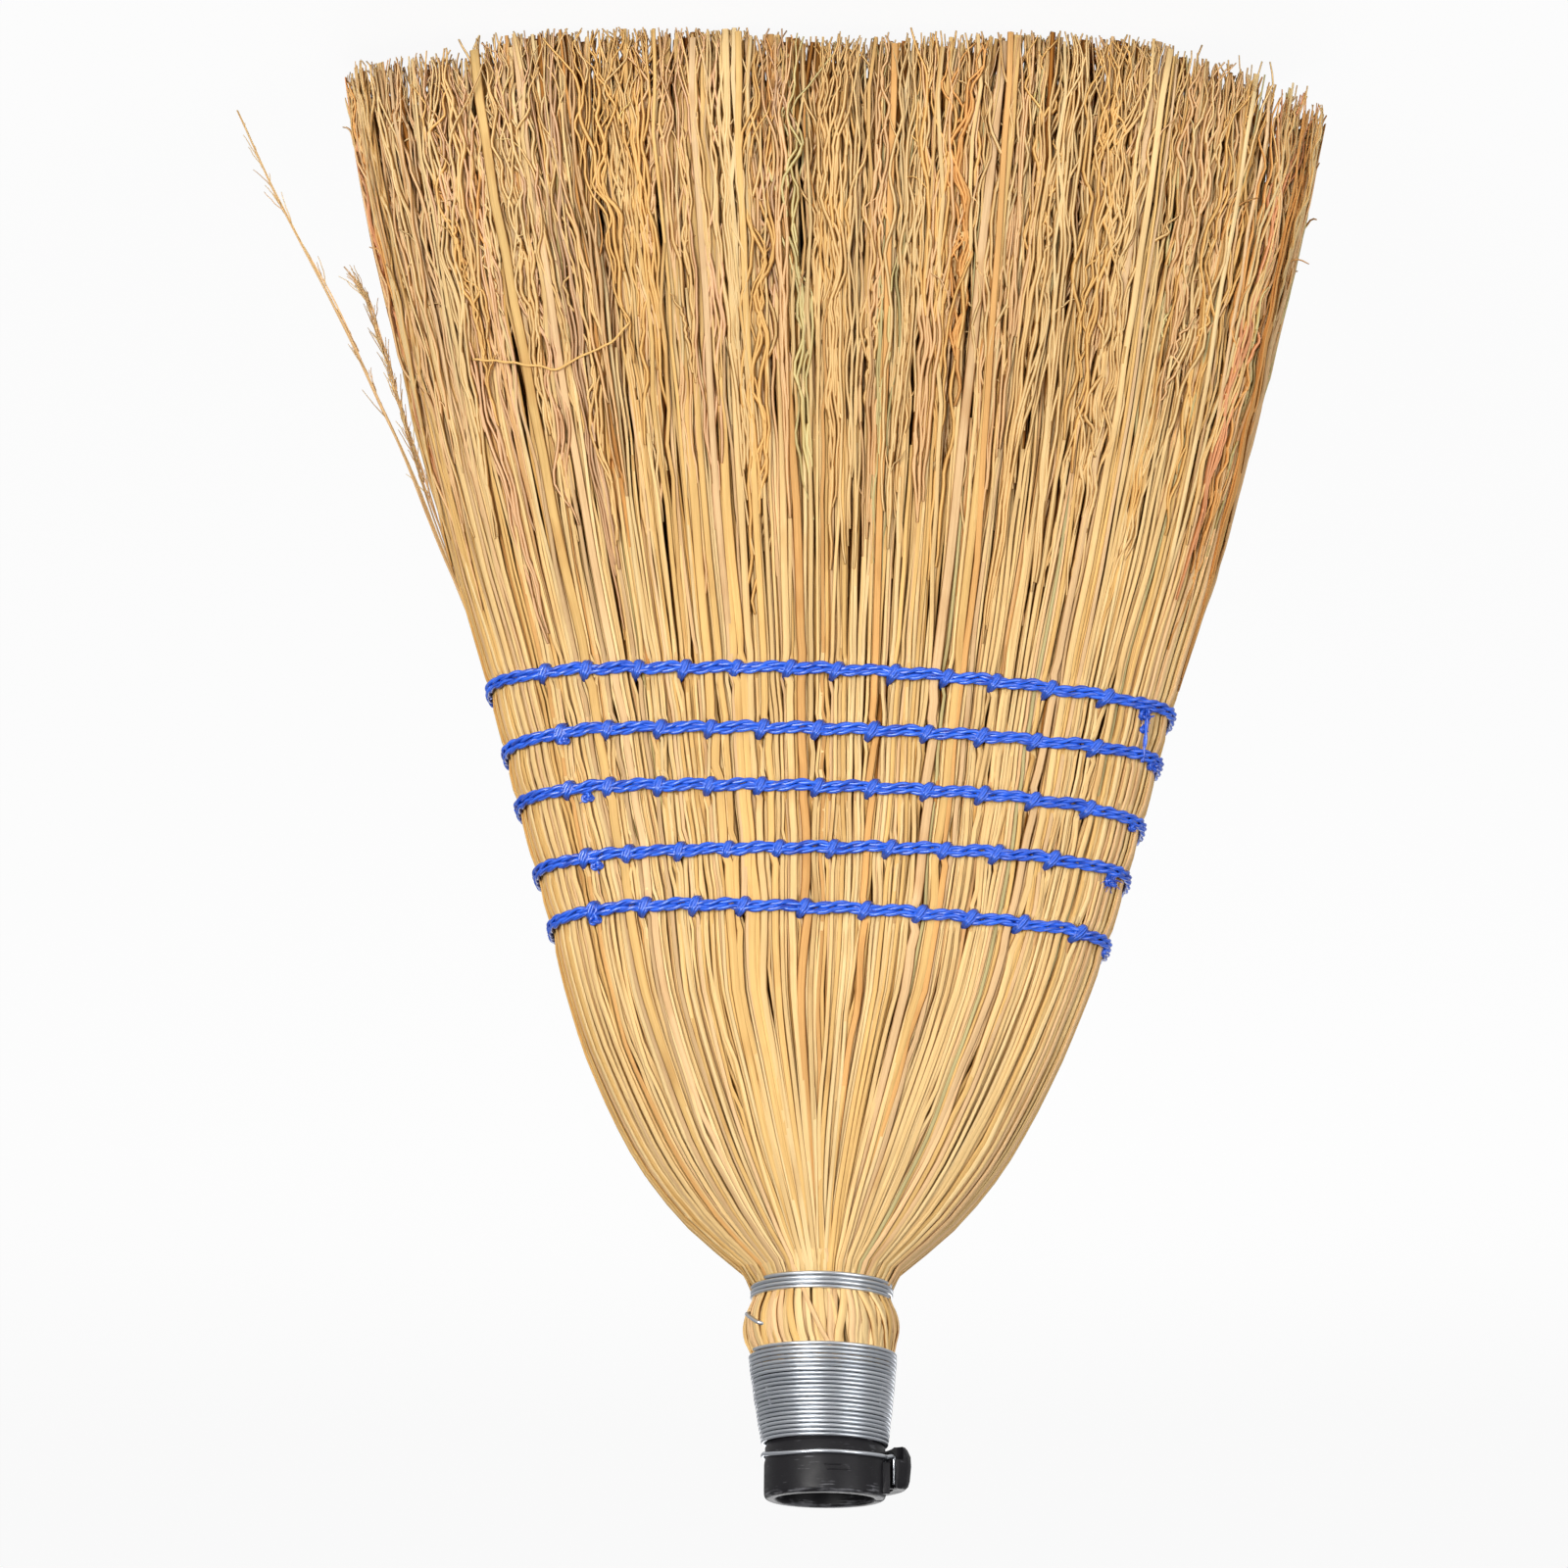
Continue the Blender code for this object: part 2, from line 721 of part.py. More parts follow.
def wound(radius_at, start_z, pitch, turns, start_turn=0.0):
    """The middle line of a wire wound round the neck."""
    points = []
    for k in range(turns * TURN_POINTS + 1):
        z = start_z + pitch * k / TURN_POINTS
        turn = start_turn + math.tau * k / TURN_POINTS
        radius = radius_at(z)
        points.append(Vector((radius * math.cos(turn), radius * math.sin(turn), z)))
    return extend_ends(points, 2 * WIRE_RADIUS)


def neck_levels():
    """Heights and radii of the bound straw butts, from the throat up into the winding."""
    ring_end = THROAT_Z + RING_LAND
    bulge_end = WINDING_TOP_Z - WIRE_RADIUS - WIRE_SEAT_GAP
    low = RING_SEAT_RADIUS
    high = under_wire(WINDING_TOP_Z)
    levels = [(THROAT_Z, low)]
    for k in range(BULGE_STEPS + 1):
        t = k / BULGE_STEPS
        crown = BULGE_CROWN * math.sin(math.pi * t)
        levels.append((ring_end + (bulge_end - ring_end) * t, low + (high - low) * t + crown))
    levels.append((BUTT_END_Z, under_wire(BUTT_END_Z)))
    return levels


def bulge_radius(z):
    """The outer radius of the bound straw at this height."""
    levels = neck_levels()
    for (low_z, low), (high_z, high) in zip(levels, levels[1:]):
        if z <= high_z:
            return low + (high - low) * (z - low_z) / (high_z - low_z)
    return levels[-1][1]


def neck_straw(name):
    """The straw butts bound round the socket's sleeve: a fluted tube."""
    inside = SLEEVE_RADIUS + RIB_HEIGHT + SLEEVE_GAP
    levels = neck_levels()

    def ring_at(z, radius, depth):
        ring = []
        for k in range(NECK_POINTS):
            turn = math.tau * k / NECK_POINTS
            reach = radius - depth * (k % 2)
            ring.append(Vector((reach * math.cos(turn), reach * math.sin(turn), z)))
        return ring

    def build(bm):
        rings = [ring_at(z, radius, FLUTE_DEPTH) for z, radius in levels]
        rings += [ring_at(levels[-1][0], inside, 0), ring_at(levels[0][0], inside, 0)]
        rings = [[bm.verts.new(point) for point in ring] for ring in rings]
        for first, second in zip(rings, rings[1:] + rings[:1]):
            for k in range(NECK_POINTS):
                j = (k + 1) % NECK_POINTS
                bm.faces.new((first[k], first[j], second[j], second[k]))

    return solid(name, build, straw_finish(name))


def wire_tail(name):
    """The winding wire's tucked end, which shows on the bulge."""
    points = []
    for k in range(TAIL_POINTS):
        t = k / (TAIL_POINTS - 1)
        z = TAIL_Z + TAIL_RISE * t
        turn = TAIL_ANGLE - TAIL_SWEEP * t
        radius = bulge_radius(z) + WIRE_SEAT_GAP + WIRE_RADIUS
        points.append(Vector((radius * math.cos(turn), radius * math.sin(turn), z)))
    return tube(name, points, WIRE_RADIUS, 1, wire_finish(name))


# Handle socket


def rib_profile():
    """Barbs round the sleeve that keep the bound straw from slipping off."""
    sleeve = SLEEVE_RADIUS
    profile = []
    for k in range(RIBS):
        z = FIRST_RIB_Z + RIB_PITCH * k
        profile += [(sleeve, z), (sleeve + RIB_HEIGHT, z + RIB_LENGTH), (sleeve, z + RIB_LENGTH)]
    return profile


def handle_socket(name):
    """The moulded sleeve and its exposed split collar."""
    sleeve = SLEEVE_RADIUS
    floor_z = THROAT_Z + SLEEVE_GAP
    land_z = BUTT_END_Z + NECK_LAND_GAP
    winding_end = WINDING_TOP_Z + WINDING_PITCH * WINDING_TURNS
    groove = COLLAR_RADIUS - GROOVE_DEPTH
    profile = [(0, floor_z), (sleeve - SLEEVE_CHAMFER, floor_z), (sleeve, floor_z + SLEEVE_CHAMFER)]
    profile += rib_profile()
    profile += [(sleeve, land_z), (under_wire(land_z), land_z)]
    profile += [(under_wire(winding_end), winding_end)]
    profile += [(under_wire(winding_end), COLLAR_Z - LAND_STEP), (COLLAR_RADIUS, COLLAR_Z)]
    profile += [(COLLAR_RADIUS, GROOVE_Z - GROOVE_HALF_WIDTH), (groove, GROOVE_Z - GROOVE_HALF_WIDTH / 2)]
    profile += [(groove, GROOVE_Z + GROOVE_HALF_WIDTH / 2), (COLLAR_RADIUS, GROOVE_Z + GROOVE_HALF_WIDTH)]
    for k in range(MOUTH_STEPS + 1):
        turn = math.pi / 2 * k / MOUTH_STEPS
        radius = COLLAR_RADIUS - MOUTH_ROUND * (1 - math.cos(turn))
        profile.append((radius, MOUTH_Z - MOUTH_ROUND * (1 - math.sin(turn))))
    profile += [(BORE_RADIUS + MOUTH_CHAMFER, MOUTH_Z), (BORE_RADIUS, MOUTH_Z - MOUTH_CHAMFER)]
    profile += [(BORE_RADIUS, floor_z + FLOOR_THICKNESS), (0, floor_z + FLOOR_THICKNESS)]
    socket = turned(name, profile, SOCKET_STEPS, plastic_finish(name))
    cut(socket, collar_lug(name + "_lug"), "UNION")
    cut(socket, block(name + "_split", split_corners()))
    return socket


def split_corners():
    """The split runs up one side of the collar, so that the hoop can draw it in."""
    low = Vector((-COLLAR_RADIUS - CUT_OVERRUN, SPLIT_CENTRE_Y - SPLIT_WIDTH / 2, COLLAR_Z))
    high = Vector((-BORE_RADIUS / 2, SPLIT_CENTRE_Y + SPLIT_WIDTH / 2, MOUTH_Z + CUT_OVERRUN))
    return low, high


def block(name, corners, edge=0.0):
    """A box between two corners, with its edges bevelled if wanted."""
    low, high = corners

    def build(bm):
        bmesh.ops.create_cube(bm, size=1.0)
        bmesh.ops.scale(bm, vec=high - low, verts=bm.verts[:])
        bmesh.ops.translate(bm, vec=(low + high) / 2, verts=bm.verts[:])
        if edge:
            bmesh.ops.bevel(bm, geom=bm.edges[:], offset=edge, segments=1, affect="EDGES")

    return solid(name, build)


def collar_lug(name):
    """A lug moulded on the collar beside the split, under the hoop."""
    top_z = GROOVE_Z + GROOVE_HALF_WIDTH + LUG_CLEARANCE
    low = Vector((-COLLAR_RADIUS - LUG_HEIGHT, LUG_INNER_Y - LUG_WIDTH, top_z))
    high = Vector((-COLLAR_RADIUS + SLEEVE_WALL, LUG_INNER_Y, MOUTH_Z - LUG_END_GAP))
    return block(name, (low, high), LUG_ROUND)


# Clamp


def clamp_wire(name):
    """A hoop round the collar. One end hooks into the split, the other is the lever's pivot."""
    radius = COLLAR_RADIUS - GROOVE_DEPTH + CLAMP_SEAT_GAP + CLAMP_WIRE_RADIUS
    points = [Vector((-radius + HOOK_LENGTH, SPLIT_CENTRE_Y, GROOVE_Z))]
    points.append(Vector((-radius + CLAMP_WIRE_RADIUS, SPLIT_CENTRE_Y, GROOVE_Z)))
    for k in range(HOOP_STEPS + 1):
        turn = HOOP_START + (HOOP_END - HOOP_START) * k / HOOP_STEPS
        points.append(Vector((radius * math.cos(turn), radius * math.sin(turn), GROOVE_Z)))
    pivot = Vector((PIVOT_X, PIVOT_Y, GROOVE_Z))
    toward = (pivot - points[-1]).normalized()
    for k in range(LEG_BEND_STEPS + 1):
        turn = math.pi / 2 * k / LEG_BEND_STEPS
        drop = Vector((0, 0, LEG_BEND * (1 - math.cos(turn))))
        points.append(pivot - toward * LEG_BEND * (1 - math.sin(turn)) + drop)
    points.append(Vector((PIVOT_X, PIVOT_Y, LEVER_END_Z - LEG_END_GAP)))
    return tube(name, points, CLAMP_WIRE_RADIUS, 1, wire_finish(name))


def polar(radius, turn, centre=(0.0, 0.0)):
    return Vector((centre[0] + radius * math.cos(turn), centre[1] + radius * math.sin(turn), 0))


def lever_outline():
    """The lever seen from above: a clip round the wire's leg and an arm that hugs the collar."""
    pivot = (PIVOT_X, PIVOT_Y)
    groove = CLAMP_WIRE_RADIUS + CLAMP_SEAT_GAP
    outer = LEVER_INNER_RADIUS + LEVER_THICKNESS
    lip_turns = turns_between(BARREL_MOUTH_START, BARREL_SHOULDER, BARREL_SIDE_STEPS)
    points = [polar(BARREL_RADIUS, turn, pivot) for turn in lip_turns]
    arm_turns = turns_between(LEVER_START, LEVER_TIP, LEVER_STEPS)
    points += [polar(LEVER_INNER_RADIUS, turn) for turn in arm_turns]
    points.append(polar(LEVER_INNER_RADIUS + LEVER_TIP_THICKNESS + LEVER_LIP, LEVER_TIP))
    for k in range(LEVER_STEPS):
        t = (k + 1) / LEVER_STEPS
        turn = LEVER_TIP + (LEVER_START - LEVER_TIP) * t
        swell = math.sin(math.pi / 2 * t)
        points.append(polar(outer - (LEVER_THICKNESS - LEVER_TIP_THICKNESS) * (1 - swell), turn))
    points.append(Vector((PIVOT_X - LEVER_THICKNESS * HEEL_SHARE, PIVOT_Y + HEEL_STEP, 0)))
    heel_turns = turns_between(BARREL_HEEL, BARREL_MOUTH_END, BARREL_SIDE_STEPS)
    points += [polar(BARREL_RADIUS, turn, pivot) for turn in heel_turns]
    groove_turns = turns_between(BARREL_MOUTH_END, BARREL_MOUTH_START, BARREL_STEPS)
    return points + [polar(groove, turn, pivot) for turn in groove_turns]


def clamp_lever(name):
    """The lever turns on the hoop's leg, so its origin lies there."""
    outline = lever_outline()
    pivot = Vector((PIVOT_X, PIVOT_Y, 0))

    def build(bm):
        low = [bm.verts.new(point - pivot + Vector((0, 0, LEVER_TOP_Z))) for point in outline]
        face = bm.faces.new(low)
        made = bmesh.ops.extrude_face_region(bm, geom=[face])
        raised = [item for item in made["geom"] if isinstance(item, bmesh.types.BMVert)]
        bmesh.ops.translate(bm, vec=(0, 0, LEVER_END_Z - LEVER_TOP_Z), verts=raised)

    lever = solid(name, build, plastic_finish(name))
    lever.location = pivot
    notch_z = GROOVE_Z + LEG_BEND
    notch = [(0, LEVER_TOP_Z - CUT_OVERRUN), (NOTCH_RADIUS, LEVER_TOP_Z - CUT_OVERRUN)]
    notch += [(NOTCH_RADIUS, notch_z), (0, notch_z)]
    cutter = turned(name + "_notch", notch, NOTCH_STEPS)
    cutter.location = pivot
    cut(lever, cutter)
    return lever


def build_straw():
    straw_bundle("inner_straw", inner_section)
    straw_bundle("front_straw", lambda z: sector_section(FRONT_TURNS, z))
    straw_bundle("back_straw", lambda z: sector_section(BACK_TURNS, z))
    straw_bundle("left_side_straw", lambda z: sector_section(LEFT_TURNS, z))
    straw_bundle("right_side_straw", lambda z: sector_section(RIGHT_TURNS, z))
    stray_straw("long_stray_straw", LONG_STRAY_END_Z, LONG_STRAY_BEND_RADIUS, 0.0)
    stray_straw("short_stray_straw", SHORT_STRAY_END_Z, SHORT_STRAY_BEND_RADIUS, SHORT_STRAY_BACK)
    neck_straw("neck_straw")


def build_stitching():
    for row in range(ROWS):
        number = row + 1
        band = extend_ends(band_points(row), 2 * TWINE_RADIUS)
        report_gap(f"twine_band_{number}", band, TWINE_RADIUS)
        tube(f"twine_band_{number}", band, TWINE_RADIUS, 0, twine_finish(f"twine_band_{number}"))
        stitches = stitch_points(row)
        report_gap(f"sewing_twine_{number}", stitches, TWINE_RADIUS)
        tube(f"sewing_twine_{number}", stitches, TWINE_RADIUS, 0, twine_finish(f"sewing_twine_{number}"))


def build_wire():
    winding = wound(winding_radius, WINDING_TOP_Z, WINDING_PITCH, WINDING_TURNS)
    report_gap("neck_winding", winding, WIRE_RADIUS)
    tube("neck_winding", winding, WIRE_RADIUS, 1, wire_finish("neck_winding"))
    ring_radius = (RING_SEAT_RADIUS + WIRE_SEAT_GAP + WIRE_RADIUS) / math.cos(math.pi / TURN_POINTS)
    ring = wound(lambda z: ring_radius, RING_START_Z, RING_PITCH, RING_TURNS, math.pi)
    report_gap("throat_ring", ring, WIRE_RADIUS)
    tube("throat_ring", ring, WIRE_RADIUS, 1, wire_finish("throat_ring"))
    wire_tail("winding_wire_end")


def main():
    clear_scene()
    build_straw()
    build_stitching()
    build_wire()
    handle_socket("handle_socket")
    clamp_wire("clamp_wire")
    clamp_lever("clamp_lever")


main()
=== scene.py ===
"""Looks of a stitched corn broom head with a wire-bound neck and a clamped handle socket."""

import logging
import math
from dataclasses import dataclass, replace
from enum import Enum
from functools import cached_property
from typing import ClassVar

import bmesh
import bpy
import numpy as np
from bpy.types import Material, Node, NodeSocket, Object
from mathutils import Matrix, Vector


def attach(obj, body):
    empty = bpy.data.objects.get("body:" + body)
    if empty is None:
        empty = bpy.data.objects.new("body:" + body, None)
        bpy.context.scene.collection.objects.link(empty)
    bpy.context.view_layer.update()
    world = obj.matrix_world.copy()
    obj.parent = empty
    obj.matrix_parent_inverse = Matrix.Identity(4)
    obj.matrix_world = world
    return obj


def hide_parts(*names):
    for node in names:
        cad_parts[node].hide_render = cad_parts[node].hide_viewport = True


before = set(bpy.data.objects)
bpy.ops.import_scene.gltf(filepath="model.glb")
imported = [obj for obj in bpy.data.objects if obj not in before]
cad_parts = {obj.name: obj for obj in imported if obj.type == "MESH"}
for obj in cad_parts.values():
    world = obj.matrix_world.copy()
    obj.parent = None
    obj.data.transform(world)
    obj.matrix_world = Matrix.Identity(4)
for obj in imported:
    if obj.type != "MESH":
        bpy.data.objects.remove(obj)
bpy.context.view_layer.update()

log = logging.getLogger("broom_head")
Array = np.ndarray
MM = 0.001
SEED = 41


class Body(Enum):
    """The rigid bodies that pieces ride on."""

    HEAD = "broom_head"
    LEVER = "lever"


class Slot(Enum):
    """The record's material slots."""

    STRAW = "straw"
    TWINE = "twine"
    WIRE = "steel_wire"
    PLASTIC = "black_plastic"


class Side(Enum):
    """The parts of the brush, by the direction that they face."""

    FRONT = "front"
    BACK = "back"
    LEFT = "left_side"
    RIGHT = "right_side"


# Colours


def linear(red: float, green: float, blue: float) -> tuple[float, float, float]:
    """An 8-bit display colour as the linear colour that shaders take.

    Args:
        red: from 0 to 255.
        green: from 0 to 255.
        blue: from 0 to 255.

    Returns:
        The three linear shares of light.
    """
    shares = np.array([red, green, blue]) / 255
    values = np.where(shares <= 0.04045, shares / 12.92, ((shares + 0.055) / 1.055) ** 2.4)
    return tuple(float(value) for value in values)


PALE = linear(240, 208, 150)
LIGHT = linear(237, 200, 138)
PEACH = linear(236, 196, 144)
PINK = linear(224, 184, 142)
GOLDEN = linear(231, 188, 118)
AMBER = linear(219, 166, 100)
TAN = linear(208, 172, 124)
GREEN = linear(198, 184, 130)
RUSSET = linear(192, 138, 98)


@dataclass(frozen=True)
class Palette:
    """Straw colours with the share of strands that take each, and how far their lightness spreads."""

    colours: tuple
    shares: tuple
    spread: float = 0.10

    def pick(self, rng: np.random.Generator, count: int) -> Array:
        """One colour for each strand, with a little spread in lightness.

        Args:
            rng: the source of random draws.
            count: how many strands.

        Returns:
            The (strand, 3) colours.
        """
        weights = np.array(self.shares) / sum(self.shares)
        picked = np.array(self.colours)[rng.choice(len(self.colours), size=count, p=weights)]
        return picked * np.exp(rng.normal(0, self.spread, (count, 1)))

    def pick_along(self, rng: np.random.Generator, count: int, steps: int, tone: float = 1.0) -> Array:
        """One colour for each strand, the same at all of its points and none over one."""
        picked = self.pick(rng, count)[:, None, :] * tone
        return np.clip(np.repeat(picked, steps, axis=1), 0, 1)


STALK_COLOURS = Palette((PALE, LIGHT, PEACH, GOLDEN, AMBER, TAN, GREEN), (22, 38, 14, 18, 4, 3, 1), 0.06)
BROAD_COLOURS = Palette((LIGHT, GOLDEN, AMBER, PEACH), (2, 5, 2, 2), 0.05)
BUTT_COLOURS = Palette((PALE, LIGHT, PEACH, GOLDEN), (16, 34, 26, 24), 0.06)
STRAY_COLOURS = Palette((PALE, PEACH, TAN), (4, 4, 3), 0.08)
BRANCH_COLOURS = Palette(
    (PALE, LIGHT, PEACH, PINK, GOLDEN, AMBER, TAN, GREEN, RUSSET),
    (22, 28, 24, 4, 14, 4, 6, 6, 1),
    0.11,
)

# Painted shade: what a strand's colour is multiplied by at its sides and underneath, where less light comes
NO_EDGE = (1.0, 1.0, 1.0)
DARK_EDGE_SHADE = (0.34, 0.18, 0.03)
SIDE_EDGE_SHADE = (0.74, 0.62, 0.46)
SOFT_EDGE_SHADE = (0.60, 0.39, 0.15)
BLUE_EDGE_SHADE = (0.35, 0.40, 0.55)


# Finishes


class Shader:
    """A small wrapper that adds and joins the nodes of one material."""

    def __init__(self, name: str) -> None:
        """Start a material with only its output node."""
        self.material = bpy.data.materials.new(name)
        self.material.use_nodes = True
        self.tree = self.material.node_tree
        self.tree.nodes.clear()
        self.output = self.add("ShaderNodeOutputMaterial")

    def add(self, kind: str, **settings: object) -> Node:
        """Add a node.

        Args:
            kind: the node's type.
            **settings: its properties by name.

        Returns:
            The node.
        """
        node = self.tree.nodes.new(kind)
        for name, value in settings.items():
            setattr(node, name, value)
        return node

    def link(self, source: NodeSocket, target: NodeSocket) -> None:
        """Join an output to an input."""
        self.tree.links.new(source, target)

    def attribute(self, name: str) -> Node:
        """A node that reads a named attribute of the mesh."""
        return self.add("ShaderNodeAttribute", attribute_name=name, attribute_type="GEOMETRY")

    def principled(self, rough: float, **inputs: float) -> Node:
        """The main surface shader, joined to the output.

        Args:
            rough: the roughness.
            **inputs: other inputs by name, with _ for a space.

        Returns:
            The Principled node.
        """
        node = self.add("ShaderNodeBsdfPrincipled")
        node.inputs["Roughness"].default_value = rough
        for name, value in inputs.items():
            node.inputs[name.replace("_", " ")].default_value = value
        self.link(node.outputs["BSDF"], self.output.inputs["Surface"])
        return node

    def noise(self, vector: NodeSocket, scale: tuple, detail: float = 3.0) -> Node:
        """Noise over stretched coordinates.

        Args:
            vector: the coordinates.
            scale: how many features a metre along each axis.
            detail: octaves of finer noise.

        Returns:
            The noise node.
        """
        mapping = self.add("ShaderNodeMapping")
        mapping.inputs["Scale"].default_value = scale
        self.link(vector, mapping.inputs["Vector"])
        noise = self.add("ShaderNodeTexNoise")
        noise.inputs["Scale"].default_value = 1.0
        noise.inputs["Detail"].default_value = detail
        self.link(mapping.outputs["Vector"], noise.inputs["Vector"])
        return noise

    def ramp(self, fac: NodeSocket, stops: tuple) -> NodeSocket:
        """A colour ramp.

        Args:
            fac: the value that it reads.
            stops: its (place, colour) stops.

        Returns:
            The ramp's colour output.
        """
        ramp = self.add("ShaderNodeValToRGB")
        fill_ramp(ramp, stops)
        self.link(fac, ramp.inputs["Fac"])
        return ramp.outputs["Color"]

    def spread(self, value: NodeSocket, **ends: float) -> NodeSocket:
        """A value taken from one range to another.

        Args:
            value: the value that it reads.
            **ends: the ranges' ends by name, with _ for a space. The others stay 0 and 1.

        Returns:
            The new value.
        """
        node = self.add("ShaderNodeMapRange")
        for name, end in ends.items():
            node.inputs[name.replace("_", " ")].default_value = end
        self.link(value, node.inputs["Value"])
        return node.outputs["Result"]

    def maths(self, operation: str, first: NodeSocket, second: NodeSocket) -> NodeSocket:
        """Two values joined by a sum.

        Args:
            operation: the sum's name.
            first: one value.
            second: the other.

        Returns:
            The result.
        """
        node = self.add("ShaderNodeMath", operation=operation)
        self.link(first, node.inputs[0])
        self.link(second, node.inputs[1])
        return node.outputs["Value"]

    def multiply(self, first: NodeSocket, second: NodeSocket, amount: float) -> NodeSocket:
        """Two colours multiplied.

        Args:
            first: one colour.
            second: the other.
            amount: how much of the product shows.

        Returns:
            The mixed colour.
        """
        mix = self.add("ShaderNodeMix", data_type="RGBA", blend_type="MULTIPLY")
        mix.inputs["Factor"].default_value = amount
        self.link(first, mix.inputs[6])
        self.link(second, mix.inputs[7])
        return mix.outputs[2]

    def bump(self, height: NodeSocket, relief: tuple, surface: Node) -> None:
        """A bump, joined to a surface's normal.

        Args:
            height: the height that it reads.
            relief: its strength and its depth in metres.
            surface: the surface shader.
        """
        bump = self.add("ShaderNodeBump")
        bump.inputs["Strength"].default_value, bump.inputs["Distance"].default_value = relief
        self.link(height, bump.inputs["Height"])
        self.link(bump.outputs["Normal"], surface.inputs["Normal"])


def fill_ramp(ramp: Node, stops: tuple) -> None:
    """Give a colour ramp its (place, colour) stops."""
    elements = ramp.color_ramp.elements
    while len(elements) < len(stops):
        elements.new(1.0)
    for element, (place, colour) in zip(elements, stops, strict=True):
        element.position = place
        element.color = (*colour, 1.0)


@dataclass(frozen=True)
class StrawFinish:
    """Dry plant straw: a tint for each strand, grain along it and darker spots."""

    rough: float = 0.6
    gloss: float = 0.2
    streak_scale: tuple = (2600, 55, 900)
    streak_stops: tuple = ((0.30, (0.66, 0.58, 0.48)), (0.62, (1.04, 1.04, 1.04)))
    streak_amount: float = 0.4
    spot_scale: tuple = (90, 45, 500)
    spot_stops: tuple = ((0.28, (0.72, 0.58, 0.44)), (0.44, (1.0, 1.0, 1.0)))
    spot_amount: float = 0.55
    relief: tuple = (0.3, 0.0001)

    def material(self, name: str) -> Material:
        """Build the material."""
        shader = Shader(name)
        tint = shader.attribute("tint").outputs["Color"]
        lay = shader.attribute("lay").outputs["Vector"]
        surface = shader.principled(self.rough, Specular_IOR_Level=self.gloss)
        streaks = shader.noise(lay, self.streak_scale, 2.0).outputs["Fac"]
        spots = shader.noise(lay, self.spot_scale, 2.0).outputs["Fac"]
        grained = shader.multiply(tint, shader.ramp(streaks, self.streak_stops), self.streak_amount)
        spotted = shader.multiply(grained, shader.ramp(spots, self.spot_stops), self.spot_amount)
        shader.link(spotted, surface.inputs["Base Color"])
        shader.bump(streaks, self.relief, surface)
        return shader.material


@dataclass(frozen=True)
class TwineFinish:
    """Glossy twisted plastic twine with fine filaments along the plies."""

    rough: float = 0.24
    gloss: float = 0.85
    filament_scale: tuple = (2200, 160, 700)
    filament_stops: tuple = ((0.30, linear(6, 32, 136)), (0.60, linear(42, 108, 238)))
    relief: tuple = (0.5, 0.00012)

    def material(self, name: str) -> Material:
        """Build the material."""
        shader = Shader(name)
        tint = shader.attribute("tint").outputs["Color"]
        lay = shader.attribute("lay").outputs["Vector"]
        surface = shader.principled(self.rough, Specular_IOR_Level=self.gloss)
        filaments = shader.noise(lay, self.filament_scale).outputs["Fac"]
        shaded = shader.multiply(shader.ramp(filaments, self.filament_stops), tint, 1.0)
        shader.link(shaded, surface.inputs["Base Color"])
        shader.bump(filaments, self.relief, surface)
        return shader.material


@dataclass(frozen=True)
class WireFinish:
    """Drawn galvanised steel wire, from dull to bright along it."""

    rough: float = 0.30
    rougher: float = 0.08
    smoother: float = 0.05
    drawn_scale: tuple = (1500, 30, 300)
    drawn_stops: tuple = ((0.32, linear(184, 189, 196)), (0.56, linear(218, 222, 227)))
    relief: tuple = (0.05, 0.00004)

    def material(self, name: str) -> Material:
        """Build the material."""
        shader = Shader(name)
        lay = shader.attribute("lay").outputs["Vector"]
        surface = shader.principled(self.rough, Metallic=1.0)
        drawn = shader.noise(lay, self.drawn_scale).outputs["Fac"]
        shader.link(shader.ramp(drawn, self.drawn_stops), surface.inputs["Base Color"])
        ends = {"To_Min": self.rough + self.rougher, "To_Max": self.rough - self.smoother}
        rough = shader.spread(drawn, **ends)
        shader.link(rough, surface.inputs["Roughness"])
        shader.bump(drawn, self.relief, surface)
        return shader.material


@dataclass(frozen=True)
class PlasticFinish:
    """Black moulded plastic with a satin skin, pale scuffs and a worn rim."""

    rough: float = 0.42
    smoother: float = 0.12
    rougher: float = 0.16
    gloss: float = 0.24
    patch_scale: tuple = (240, 240, 420)
    scratch_scale: tuple = (160, 160, 2600)
    scuff_stops: tuple = ((0.36, linear(24, 23, 26)), (0.46, linear(96, 96, 100)))
    rim_start: float = 0.3832
    rim_end: float = 0.3862
    rim_wear: float = 0.12
    relief: tuple = (0.16, 0.00015)

    def material(self, name: str) -> Material:
        """Build the material."""
        shader = Shader(name)
        place = shader.add("ShaderNodeTexCoord").outputs["Object"]
        surface = shader.principled(self.rough, Specular_IOR_Level=self.gloss)
        patches = shader.noise(place, self.patch_scale, 5.0).outputs["Fac"]
        scratches = shader.noise(place, self.scratch_scale).outputs["Fac"]
        split = shader.add("ShaderNodeSeparateXYZ")
        shader.link(place, split.inputs["Vector"])
        ends = {"From_Min": self.rim_start, "From_Max": self.rim_end, "To_Max": self.rim_wear}
        rim = shader.spread(split.outputs["Z"], **ends)
        worn = shader.maths("ADD", shader.maths("MULTIPLY", patches, scratches), rim)
        shader.link(shader.ramp(worn, self.scuff_stops), surface.inputs["Base Color"])
        ends = {"To_Min": self.rough - self.smoother, "To_Max": self.rough + self.rougher}
        rough = shader.spread(patches, **ends)
        shader.link(rough, surface.inputs["Roughness"])
        shader.bump(scratches, self.relief, surface)
        return shader.material


# Paths and meshes


def unit(vectors: Array) -> Array:
    """Vectors scaled to a length of one."""
    return vectors / np.maximum(np.linalg.norm(vectors, axis=-1, keepdims=True), 1e-12)


